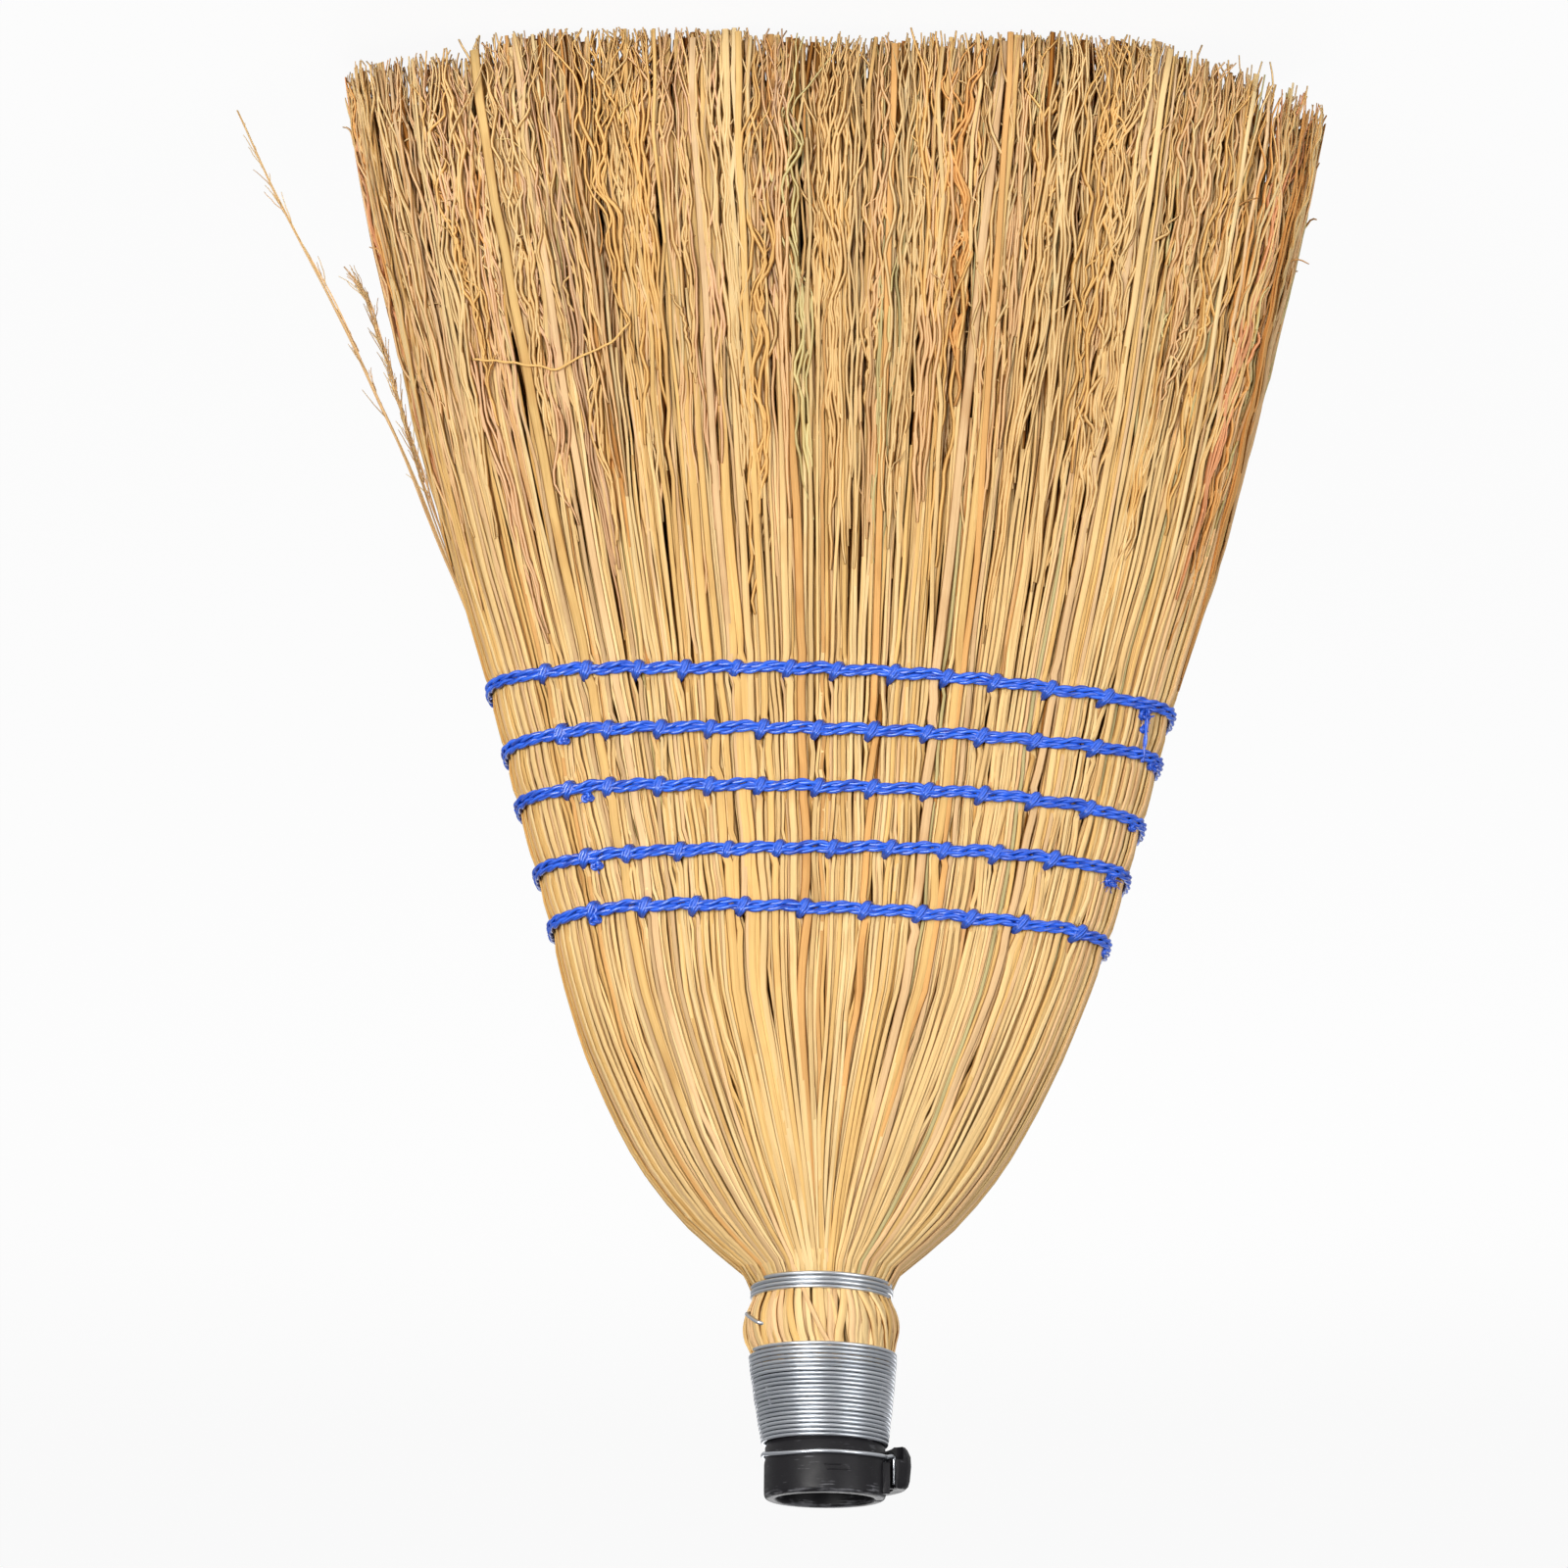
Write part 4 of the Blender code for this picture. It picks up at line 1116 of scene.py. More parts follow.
        spread = place * rng.uniform(0.7, 1.5, (count, 1)) + rng.normal(0, 1.9, (count, 1))
        drift = group * loose + spread * (0.35 + 0.65 * np.sqrt(t)) * (0.5 + 0.5 * loose)
        drift += rng.normal(0, 2.6, (count, 1)) * np.clip((t - 0.6) / 0.4, 0, 1) ** 1.5
        vigour = np.clip(np.exp(rng.normal(0.0, 0.5, layer.tufts)), 0.35, 1.9)
        size = vigour[tuft][:, None] * (0.45 + 0.8 * t)
        drift += self.shared(layer.kink, tuft, z) * size
        drift += self.kinks(count, layer.steps, layer.kink * 0.8) * size
        curl = (rng.random((count, 1)) < layer.curls) * np.clip((t - 0.55) / 0.45, 0, 1) ** 1.6
        drift += curl * rng.normal(0, 6, (count, 1))
        depth = rng.uniform(*layer.depth, layer.tufts)[tuft][:, None]
        depth = depth + rng.normal(0, 0.8, (count, 1)) * t
        bends = self.shared(layer.kink * 0.5, tuft, z)
        bends = bends + self.kinks(count, layer.steps, layer.kink * 0.35)
        depth = depth + bends * size
        depth = np.maximum(depth, -0.9)
        drift += self.wander(count, z, 0.5, (24, 60)) * loose
        points, outward = self.place(turn, drift, depth, z)
        radius = rng.uniform(*layer.radius, (count, 1)) * np.interp(t, (0, 0.1, 0.75, 1), (0.6, 1, 0.95, 0.4))
        colours = BRANCH_COLOURS.pick(rng, layer.tufts)[tuft] * np.exp(rng.normal(0, 0.12, (count, 1)))
        # painted shade: tinted darkens deep layers, and the branches darken at their sides and underneath
        tints = self.tinted(colours, z, layer.darkness)
        size = (radius, radius * 0.7)
        return Strands.in_mm(points, outward, size, tints, 3, 0.0, SOFT_EDGE_SHADE), turn[:, 0]

    def kinks(self, count: int, steps: int, size: float) -> Array:
        """Random bends that keep near the strand's own line.

        Args:
            count: how many strands.
            steps: points in each.
            size: how large, in mm.

        Returns:
            The shift in mm.
        """
        jumps = self.rng.normal(0, size, (count, steps))
        line = np.zeros((count, steps))
        for step in range(1, steps):
            line[:, step] = 0.66 * line[:, step - 1] + jumps[:, step]
        line[:, 1:-1] = 0.25 * line[:, :-2] + 0.5 * line[:, 1:-1] + 0.25 * line[:, 2:]
        return line

    def shared(self, size: float, tuft: Array, z: Array) -> Array:
        """Bends that all branches of a tuft follow together.

        Args:
            size: how large, in mm.
            tuft: each strand's tuft.
            z: the heights.

        Returns:
            The shift in mm.
        """
        spacing, levels = 3.2, 60
        lines = self.kinks(int(tuft.max()) + 1, levels, size)
        at = np.clip(z / spacing, 0, levels - 1.001)
        low = at.astype(int)
        which = tuft[:, None]
        return lines[which, low] * (low + 1 - at) + lines[which, low + 1] * (at - low)

    def twigs(self, parents: Strands, turn: Array, count: int) -> tuple[Strands, Array]:
        """Short curved side twigs that leave the branches at a small angle towards the tips.

        Args:
            parents: the branches that carry them.
            turn: the angle parameter of each branch.
            count: how many twigs.

        Returns:
            The twigs and the angle parameter of each.
        """
        rng, steps = self.rng, 8
        which = rng.integers(0, len(parents.points), count)
        at = rng.integers(4, parents.points.shape[1] - 3, count)
        side, lift = parents.frames()
        base, ahead = parents.points[which, at], unit(np.gradient(parents.points, axis=1))[which, at]
        side, lift = side[which, at] * rng.choice((-1.0, 1.0), (count, 1)), lift[which, at]
        share = np.linspace(0, 1, steps)
        bend = rng.normal(0.0, 0.5, (count, 1)) * share * 2 + rng.normal(0, 0.2, (count, steps))
        angle = rng.uniform(0.1, 0.45, (count, 1)) + bend
        reach = rng.uniform(4, 10, (count, 1)) * MM / (steps - 1)
        forward = np.cumsum(np.cos(angle), axis=1) - np.cos(angle[:, :1])
        sideways = np.cumsum(np.sin(angle), axis=1) - np.sin(angle[:, :1])
        rise = rng.uniform(-0.3, 0.5, (count, 1)) * MM * np.sqrt(share)
        points = base[:, None] + (forward * reach)[..., None] * ahead[:, None]
        points = points + (sideways * reach)[..., None] * side[:, None] + rise[..., None] * lift[:, None]
        radius = rng.uniform(0.28, 0.42, (count, 1)) * np.interp(share, (0, 0.7, 1), (1, 0.85, 0.5)) * MM
        tints = np.clip(parents.tints[which, at] * np.exp(rng.normal(0, 0.1, (count, 1))), 0, 0.95)
        tints = np.repeat(tints[:, None], steps, axis=1)
        outward = np.repeat(parents.outward[which, at][:, None], steps, axis=1)
        # painted shade: the twigs keep their branch's shaded tint and darken at their sides and underneath
        return Strands(points, outward, radius, radius, tints, 3, 0.0, SOFT_EDGE_SHADE), turn[which]

    def core(self) -> Strands:
        """Thick stems in the middle of the brush, which fill it behind the outer layers."""
        rng, shape, count = self.rng, self.shape, 360
        reach = np.sqrt(rng.uniform(0.0, 0.84, (count, 1)))
        turn = shape.even_turns(rng.uniform(0, 1, count))[:, None]
        tip = shape.tips(turn, reach) + np.abs(rng.normal(0, 1.3, (count, 1)))
        z = shape.root_z + (tip - shape.root_z) * np.linspace(0, 1, 16)[None] ** 1.2
        spot, normal = shape.skin(np.broadcast_to(turn, z.shape), z)
        spot = spot * (reach * np.interp(z, (280, 325), (1.0, 0.75)))[..., None]
        spot[..., 0] += self.wander(count, z, 0.7, (50, 120))
        half = rng.uniform(0.9, 1.7, (count, 1)) * np.ones_like(z)
        # painted shade: the stems of the middle are darkened and browned as straw deep in shade
        tints = self.tinted(STALK_COLOURS.pick(rng, count), z, 0.5)
        outward = raised(normal, np.zeros_like(z))
        return Strands.in_mm(raised(spot, z), outward, (half, half * 0.8), tints)

    def fibre(self) -> Strands:
        """A curled fibre that lies across the tufts on the front."""
        line = resampled(np.array([(x, 0.0, z) for x, z in self.fibre_line]), 1.2)
        z = line[:, 2] + self.kinks(1, len(line), 0.3)[0]
        spot, normal = self.shape.skin(self.shape.turn_at(line[:, 0], z, -1), z)
        return round_strand(raised(spot + 1.3 * normal, z), 0.30, GOLDEN)

    def side_of(self, turn: Array) -> Array:
        """Which side each angle parameter belongs to, as an index into Side."""
        cos, sin = np.cos(turn), np.sin(turn)
        flat = np.abs(sin) > math.sin(math.radians(38))
        return np.where(flat, np.where(sin < 0, 0, 1), np.where(cos > 0, 2, 3))

    def build(self) -> None:
        """Make the straw's pieces: the stalks by side, the branches by side and the stems of the middle."""
        stalk_sets = [self.stalks(layer) for layer in self.stalk_layers]
        branch_sets = [self.tufts(layer) for layer in self.branch_layers]
        for layer, grown in zip(self.branch_layers, tuple(branch_sets), strict=True):
            if layer.twigs:
                branch_sets.append(self.twigs(*grown, layer.twigs))
        for index, side in enumerate(Side):
            bundles = [strands.chosen(self.side_of(turn) == index) for strands, turn in stalk_sets]
            # painted shade: the side pieces' strands darken less at their sides, which face the front
            if side in (Side.LEFT, Side.RIGHT):
                bundles = [replace(bundle, edge=SIDE_EDGE_SHADE) for bundle in bundles]
            piece = strand_mesh(f"{side.value}_stalks", bundles, self.material)
            report(piece, Slot.STRAW, Body.HEAD, f"{side.value}_straw")
            halves = (1, -1) if side in (Side.FRONT, Side.BACK) else (0,)
            for half in halves:
                bundles = []
                for strands, turn in branch_sets:
                    mask = self.side_of(turn) == index
                    mask &= (np.sign(np.cos(turn)) == half) | (half == 0)
                    bundles.append(strands.chosen(mask))
                if side is Side.FRONT and half > 0:
                    bundles.append(self.fibre())
                tail = {1: "_branches_1", -1: "_branches_2", 0: "_branches"}[half]
                piece = strand_mesh(side.value + tail, bundles, self.material)
                report(piece, Slot.STRAW, Body.HEAD)
        piece = strand_mesh("inner_stalks", [self.core()], self.material)
        report(piece, Slot.STRAW, Body.HEAD, "inner_straw")


# Stitching


@dataclass(frozen=True)
class TwineSize:
    """A twisted two-ply twine. Sizes in mm."""

    ply_radius: float = 0.56
    ply_offset: float = 0.37
    lay_length: float = 8.5
    step: float = 0.55
    sides: int = 6


@dataclass(frozen=True)
class BandSize:
    """How the two twines of a row lie. Sizes in mm."""

    gap: float = 0.73
    pinch: float = 0.30
    pinch_width: float = 1.7
    flat_from: float = 0.42
    sag: float = 0.45
    slant: float = 0.28
    wave: float = 0.10
    wave_length: float = 11.0
    lift: float = 0.30
    lift_wave: float = 0.12
    lift_length: float = 3.7
    lift_phase: float = 2.1
    phase: float = 1.3


@dataclass(frozen=True)
class StitchSize:
    """One stitch: turns of twine that cross the band at a slant. Sizes in mm."""

    turns: int = 4
    steps: int = 21
    half_x: tuple = (1.6, 2.0)
    half_z: tuple = (2.9, 3.4)
    gap: float = 0.74
    gather: float = 1.3
    drop: float = 0.3
    rise: float = 1.35
    crown: float = 0.3
    dive: float = 7.6
    dive_from: float = 0.35
    dive_power: float = 1.5
    radius: float = 0.5
    taper: tuple = ((0.5, 1), (1, 0.5))
    shade: tuple = ((0.3, 0.86), (0.85, 0.25))


@dataclass(frozen=True)
class KnotSize:
    """A small tangle of twine with frayed filaments, in shares of the knot's size."""

    steps: int = 60
    spread: float = 0.33
    depth: float = 0.3
    swell: float = 0.85
    fray_steps: int = 9
    fray_out: float = 0.5
    fray_up: float = 0.6
    fray_start: float = 0.3
    fray_reach: tuple = (0.9, 2.1)
    fray_bend: float = 0.3
    fray_radius: float = 0.11


class Stitching:
    """The rows of blue twine, each a band of two twines and the stitches that hold it.

    knots are the knots and frays of each row on the front, as (x, rise, size, frays).
    """

    seat: float = 0.45
    seat_share: float = 0.9
    knots: tuple = (
        ((-81.4, 2.6, 1.4, 30), (-82.2, 6.4, 0.6, 24)),
        ((-83.0, 1.6, 1.5, 30), (67.5, 1.8, 0.9, 6)),
        ((61.0, 2.3, 1.1, 8), (-78.0, 1.6, 0.8, 8)),
        ((-72.2, 2.6, 1.6, 34), (59.0, 2.0, 1.1, 8)),
        ((58.5, 2.1, 1.2, 10), (-70.5, 2.0, 0.8, 12)),
    )
    knot_lift: float = 0.9
    thread_x: tuple = (-81.6, -1.8)
    thread_rise: tuple = (2.2, 13.0)
    thread_lift: tuple = (1.5, 0.5)
    thread_swell: float = 0.62
    thread_steps: int = 28

    def __init__(self, shape: BrushShape, plan: StitchPlan) -> None:
        """Keep the brush's outline and the plan, and make the twine's finish."""
        self.shape = shape
        self.plan = plan
        self.twine = TwineSize()
        self.rng = np.random.default_rng(SEED + 1)
        self.material = TwineFinish().material("twine")

    def twisted(
        self, points: Array, outward: Array, phase: float, swell: float = 1.0
    ) -> Strands:
        """Two plies twisted round a path.

        Args:
            points: the path in mm, evenly spaced.
            outward: a direction across the path at each point.
            phase: the angle at which the twist starts.
            swell: a factor on the ply's size.

        Returns:
            The two plies as strands.
        """
        tangent = unit(np.gradient(points, axis=0))
        side = unit(np.cross(tangent, outward))
        lift = np.cross(side, tangent)
        turn = phase + 2 * np.pi * lengths(points) / self.twine.lay_length
        reach = self.twine.ply_offset * swell
        plies = []
        for half in (0, np.pi):
            offset = side * np.cos(turn + half)[:, None] + lift * np.sin(turn + half)[:, None]
            plies.append(points + reach * offset)
        paths = np.stack(plies)
        radius = np.full(paths.shape[:2], self.twine.ply_radius * swell)
        # painted shade: each ply darkens at its sides and underneath, in the groove between the plies
        look = (np.ones(paths.shape), self.twine.sides, 0.0, BLUE_EDGE_SHADE)
        return Strands.in_mm(paths, np.broadcast_to(lift[None], paths.shape), (radius, radius), *look)

    def surface(
        self, row: int, turn: Array, rise: Array, out: Array
    ) -> tuple[Array, Array]:
        """Points on the straw along a row.

        Args:
            row: the row's number from the tips.
            turn: angle parameters along the row.
            rise: how far each point lies above the row's line, in mm.
            out: how far it stands off the straw, in mm.

        Returns:
            The (point, 3) places and the (point, 3) outward directions.
        """
        z = np.full_like(turn, self.plan.heights[row][1])
        for _ in range(3):
            spot, normal = self.shape.skin(turn, z)
            z = self.plan.row_height(row, spot[:, 0]) + rise
        spot, normal = self.shape.skin(turn, z)
        inward = self.plan.pull * self.seat_share - out
        return raised(spot - normal * inward[:, None], z), raised(normal, np.zeros_like(z))

    def band(self, row: int, size: BandSize) -> list[Strands]:
        """The two twines laid round the brush, pinched together at each stitch.

        Args:
            row: the row's number from the tips.
            size: how they lie.

        Returns:
            The two twines.
        """
        fine = np.linspace(0, 2 * np.pi, 3001)
        flush = np.zeros_like(fine)
        length = lengths(self.surface(row, fine, flush, flush)[0])
        count = int(length[-1] / self.twine.step)
        turn = np.interp(np.linspace(0, length[-1], count), length, fine)
        x = self.surface(row, turn, np.zeros(count), np.zeros(count))[0][:, 0]
        flat = np.abs(np.sin(turn)) > size.flat_from
        places = np.array(self.plan.stitches[row])
        near = np.exp(-(((x[:, None] - places[None]) / size.pinch_width) ** 2)).max(1) * flat
        order = np.sort(places)
        index = np.clip(np.searchsorted(order, x), 1, len(order) - 1)
        share = np.clip((x - order[index - 1]) / (order[index] - order[index - 1]), 0, 1)
        arch = (-size.sag * np.sin(np.pi * share) - size.slant * np.sin(2 * np.pi * share)) * flat
        twines = []
        for number, sign in enumerate((-1, 1)):
            wave = size.wave * np.sin(length[-1] * turn / size.wave_length + 2 * number + row)
            rise = sign * size.gap * (1 - size.pinch * near) + arch + wave
            out = self.twine.ply_radius + self.seat + size.lift * (1 - near)
            out = out + size.lift_wave * np.sin(x / size.lift_length + number * size.lift_phase)
            points, outward = self.surface(row, turn, rise, out)
            twines.append(self.twisted(points, outward, size.phase * number + row))
        return twines

    def stitch(self, row: int, x: float, face: int, size: StitchSize) -> Strands:
        """Turns of twine that come out of one hole, cross the band at a slant and go into another.

        Args:
            row: the row's number from the tips.
            x: the stitch's place across the width, in mm.
            face: -1 on the front, 1 on the back.
            size: the stitch's sizes.

        Returns:
            The turns.
        """
        t = np.linspace(-1, 1, size.steps)
        half_x, half_z = self.rng.uniform(*size.half_x), self.rng.uniform(*size.half_z)
        length = math.hypot(half_x, half_z)
        middle = (size.turns - 1) / 2
        dive = size.dive * np.clip(np.abs(t) - size.dive_from, 0, 1) ** size.dive_power
        paths, directions = [], []
        for number in range(size.turns):
            offset = (number - middle) * size.gap * (1 - np.abs(t) ** size.gather)
            across = x + half_x * t + offset * half_z / length
            rise = half_z * t - offset * half_x / length - size.drop
            out = size.rise + self.seat - size.crown * abs(number - middle) - dive
            points, outward = self.surface(row, self.turn_at(row, across, face), rise, out)
            paths.append(points)
            directions.append(outward)
        paths, directions = np.array(paths), np.array(directions)
        radius = size.radius * read_off(size.taper, np.abs(t))[None] * np.ones((size.turns, 1))
        # painted shade: the turns darken towards their ends, where they dive into the straw, and at their
        # sides and underneath
        shade = read_off(size.shade, np.abs(t))[None, :, None]
        look = (shade * np.ones((size.turns, 1, 3)), self.twine.sides, 0.0, BLUE_EDGE_SHADE)
        return Strands.in_mm(paths, directions, (radius, radius), *look)

    def turn_at(self, row: int, x: Array, face: int) -> Array:
        """The angle parameter of a place across a row, on the front (-1) or the back (1)."""
        return self.shape.turn_at(x, np.full_like(x, self.plan.heights[row][1]), face)

    def knot(
        self, centre: Array, outward: Array, radius: float, frays: int, size: KnotSize
    ) -> list[Strands]:
        """A small tangle of twine with frayed filaments.

        Args:
            centre: its middle, in mm.
            outward: the direction off the straw.
            radius: its radius in mm.
            frays: how many loose filaments stand out.
            size: its proportions.

        Returns:
            The strands of the knot.
        """
        rng = self.rng
        t = np.linspace(0, 2 * np.pi, size.steps)
        side = unit(np.cross(outward, (0, 0, 1.0)))
        tangle = np.stack([np.sin(t) + 2 * np.sin(2 * t), np.cos(t) - 2 * np.cos(2 * t), -np.sin(3 * t)], 1)
        path = tangle[:, :1] * side * size.spread + tangle[:, 1:2] * np.array([0, 0, size.spread])
        path = centre + radius * (path + tangle[:, 2:3] * outward * size.depth)
        tangled = self.twisted(path, np.tile(outward, (size.steps, 1)), 0.0, size.swell)
        up = np.array([0, 0, size.fray_up])
        ends = unit(rng.normal(0, 1, (frays, 3)) + outward * size.fray_out + up)
        along = np.linspace(size.fray_start, 1, size.fray_steps)[None, :, None]
        reach = radius * rng.uniform(*size.fray_reach, (frays, 1, 1)) * along
        share = np.linspace(0, 1, size.fray_steps)[None, :, None]
        bend = rng.normal(0, size.fray_bend, (frays, 1, 3)) * share**2 * radius
        points = centre + ends[:, None, :] * reach + bend
        thick = np.full(points.shape[:2], size.fray_radius)
        out = np.broadcast_to(unit(rng.normal(0, 1, (frays, 1, 3))), points.shape)
        return [tangled, Strands.in_mm(points, out, (thick, thick), np.ones(points.shape), 3)]

    def thread_end(self) -> Strands:
        """The end of the lowest row's thread, which hangs off its last stitch."""
        t = np.linspace(0, 1, self.thread_steps)
        turn = self.turn_at(0, self.thread_x[0] + self.thread_x[1] * t, -1)
        rise = self.thread_rise[0] + self.thread_rise[1] * t
        out = self.thread_lift[0] + self.thread_lift[1] * np.sin(np.pi * t)
        points, outward = self.surface(0, turn, rise, out)
        return self.twisted(points, outward, 0.0, self.thread_swell)

    def ends(self, row: int) -> list[Strands]:
        """The knots and frays at the ends of a row."""
        bundles = [self.thread_end()] if row == 0 else []
        for x, rise, radius, frays in self.knots[row]:
            turn = self.turn_at(row, np.array([x]), -1)
            points, outward = self.surface(row, turn, np.array([rise]), np.array([self.knot_lift]))
            bundles += self.knot(points[0], outward[0], radius, frays, KnotSize())
        return bundles

    def build(self) -> None:
        """Make the bands and the stitches of all rows."""
        for row, places in enumerate(self.plan.stitches):
            piece = strand_mesh(f"row_{row + 1}_band", self.band(row, BandSize()), self.material)
            report(piece, Slot.TWINE, Body.HEAD, f"twine_band_{row + 1}")
            bundles = [self.stitch(row, x, face, StitchSize()) for x in places for face in (-1, 1)]
            piece = strand_mesh(f"row_{row + 1}_stitches", bundles + self.ends(row), self.material)
            report(piece, Slot.TWINE, Body.HEAD, f"sewing_twine_{row + 1}")


# Neck


@dataclass(frozen=True)
class NeckSize:
    """The bulge of the bound neck, as (height, radius) and (height, shift) pairs in mm."""

    bulge: tuple = (
        (326, 17.6), (331, 16.6), (334, 16.4), (337, 16.9), (339.5, 18.2), (342.5, 18.95),
        (345.5, 18.9), (348.5, 18.2), (351, 17.3), (356, 16.9),
    )
    shifts: tuple = ((331, 1.1), (348, 1.2), (350, 0.8), (373, 0.1))
    start: float = 320.0
    end: float = 360.0
    easing: float = 2.0
    easing_reach: int = 6

    def radius(self, z: Array) -> Array:
        """The bulge's radius at each height, with its corners eased."""
        levels = np.arange(self.start, self.end, 0.5)
        return np.interp(z, levels, eased(read_off(self.bulge, levels), self.easing_reach, self.easing))


@dataclass(frozen=True)
class ButtLayer:
    """One layer of butt ends round the neck. Sizes in mm, and skew is how much their slant varies."""

    count: int
    depth: float
    half_width: tuple
    # painted shade: a factor on the colour, lowest for the deepest layer
    tone: float
    skew: float


@dataclass(frozen=True)
class ButtHabit:
    """How the butt ends lie. Sizes and heights in mm, angles in radians."""

    ends: tuple = (327, 356)
    steps: int = 22
    jitter: tuple = (-0.3, 0.3)
    middle: float = 343.0
    scatter: float = 0.22
    scatter_height: float = 7.0
    lean: float = -0.05
    lean_height: float = 8.0
    sway: float = 0.03
    sway_height: float = 6.0
    widths: tuple = ((330, 0.78), (336, 0.85), (343, 1.0), (350, 0.97))
    half_thickness: float = 0.42
    sides: int = 8
    flatness: float = 0.5


@dataclass(frozen=True)
class Winding:
    """A wire wound round the neck. Sizes in mm, the angle where it begins in degrees.

    Its unevenness is in waves, each as (size, pace, phase).
    """

    wire: float
    start: float
    pitch: float
    turns: float
    begin: float
    radii: tuple
    steps: int = 84
    slow_gap: tuple = (0.04, 0.83, 1.0)
    quick_gap: tuple = (0.02, 2.37, 0.0)
    tilt: tuple = (0.05, 2.0, 0.6)
    sag: tuple = (0.02, 0.31, 0.0)

    def path(self) -> Array:
        """The wire's path, slightly uneven."""
        angle = np.linspace(0, 2 * np.pi * self.turns, int(self.turns * self.steps))
        level = self.start + self.pitch * angle / (2 * np.pi)
        uneven = wave(angle, *self.slow_gap) + wave(angle, *self.quick_gap)
        radius = read_off(self.radii, level) + uneven
        swing = math.radians(self.begin) - angle
        sag = wave(swing, *self.tilt) + wave(angle, *self.sag)
        return np.stack([radius * np.cos(swing), radius * np.sin(swing), level + sag], 1)


@dataclass(frozen=True)
class WireEnd:
    """The winding's end, tucked between the butt ends near the throat. Places in mm."""

    start: tuple = (19.15, -5.6, 341.1)
    end: tuple = (14.6, -12.6, 345.2)
    radii: tuple = ((0, 18.7), (0.12, 19.6), (0.85, 19.5), (1, 17.4))
    steps: int = 26

    def path(self) -> Array:
        """The end's path, bent round the neck."""
        t = np.linspace(0, 1, self.steps)[:, None]
        line = np.array(self.start) + (np.array(self.end) - np.array(self.start)) * t
        level = unit(line * np.array([1, 1, 0]))
        line[:, :2] = (level * read_off(self.radii, t[:, 0])[:, None])[:, :2]
        return line


class Neck:
    """The butt ends of the straw and the steel wire that binds them to the socket."""

    layers: tuple[ButtLayer, ...] = (
        ButtLayer(8, -0.1, (0.5, 0.8), 0.93, 0.11),
        ButtLayer(64, 0.2, (0.6, 1.15), 0.93, 0.04),
        ButtLayer(72, 0.7, (0.8, 1.1), 0.85, 0.03),
        ButtLayer(60, 1.7, (1.1, 1.4), 0.5, 0.0),
    )
    ring = Winding(0.53, 333.0, 1.09, 3.35, -36.0, ((330, 17.35),))
    coil = Winding(
        0.49, 350.4, 1.045, 21.6, -20.0,
        ((350, 18.05), (353, 17.9), (362, 16.85), (373.2, 15.25)),
    )
    wire_sides: int = 10

    def __init__(self, size: NeckSize, straw: Material) -> None:
        """Keep the sizes and the straw's finish, and make the wire's."""
        self.size = size
        self.straw = straw
        self.rng = np.random.default_rng(SEED + 2)
        self.wire = WireFinish().material("steel_wire")

    def shifted(self, points: Array) -> Array:
        """Points moved with the neck, whose middle leans a little off the socket's axis."""
        moved = points.copy()
        moved[..., 0] += read_off(self.size.shifts, points[..., 2])
        return moved

    def butts(self, layer: ButtLayer, habit: ButtHabit) -> Strands:
        """Broad flat butt ends side by side round the neck.

        Args:
            layer: their number, sizes and painted shade.
            habit: how they lie.

        Returns:
            The butt ends.
        """
        rng, count = self.rng, layer.count
        turn = 2 * np.pi * (np.arange(count) + rng.uniform(*habit.jitter, count))[:, None] / count
        z = np.linspace(*habit.ends, habit.steps)[None] * np.ones((count, 1))
        above = z - habit.middle
        bump = np.exp(-((above / habit.scatter_height) ** 2))
        sunk = layer.depth + rng.normal(0, habit.scatter, (count, 1)) * bump
        lean = rng.normal(habit.lean, layer.skew, (count, 1))
        sway = rng.normal(0, habit.sway, (count, 1)) * np.sin(above / habit.sway_height)
        swirl = turn + lean * above / habit.lean_height + sway
        radius = self.size.radius(z) - sunk
        points = np.stack([radius * np.cos(swirl), radius * np.sin(swirl), z], -1)
        outward = np.stack([np.cos(swirl), np.sin(swirl), np.zeros_like(z)], -1)
        across = rng.uniform(*layer.half_width, (count, 1)) * read_off(habit.widths, z)
        tints = BUTT_COLOURS.pick_along(rng, count, habit.steps, layer.tone)
        size = (across, np.full_like(across, habit.half_thickness))
        # painted shade: the butt ends darken at their sides and underneath
        look = (tints, habit.sides, habit.flatness, DARK_EDGE_SHADE)
        return Strands.in_mm(self.shifted(points), outward, size, *look)

    def bind(self, name: str, path: Array, wire: float, node: str) -> None:
        """Make one piece of wire from its path and radius in mm, for a node of the CAD."""
        strand = round_strand(self.shifted(path), wire, sides=self.wire_sides)
        report(strand_mesh(name, [strand], self.wire), Slot.WIRE, Body.HEAD, node)

    def build(self) -> None:
        """Make the neck's straw and its three pieces of wire."""
        bundles = [self.butts(layer, ButtHabit()) for layer in self.layers]
        report(strand_mesh("neck_stalks", bundles, self.straw), Slot.STRAW, Body.HEAD, "neck_straw")
        self.bind("throat_wire", self.ring.path(), self.ring.wire, "throat_ring")
        self.bind("winding_wire", self.coil.path(), self.coil.wire, "neck_winding")
        self.bind("wire_tail", WireEnd().path(), self.ring.wire, "winding_wire_end")


# Socket and clamp


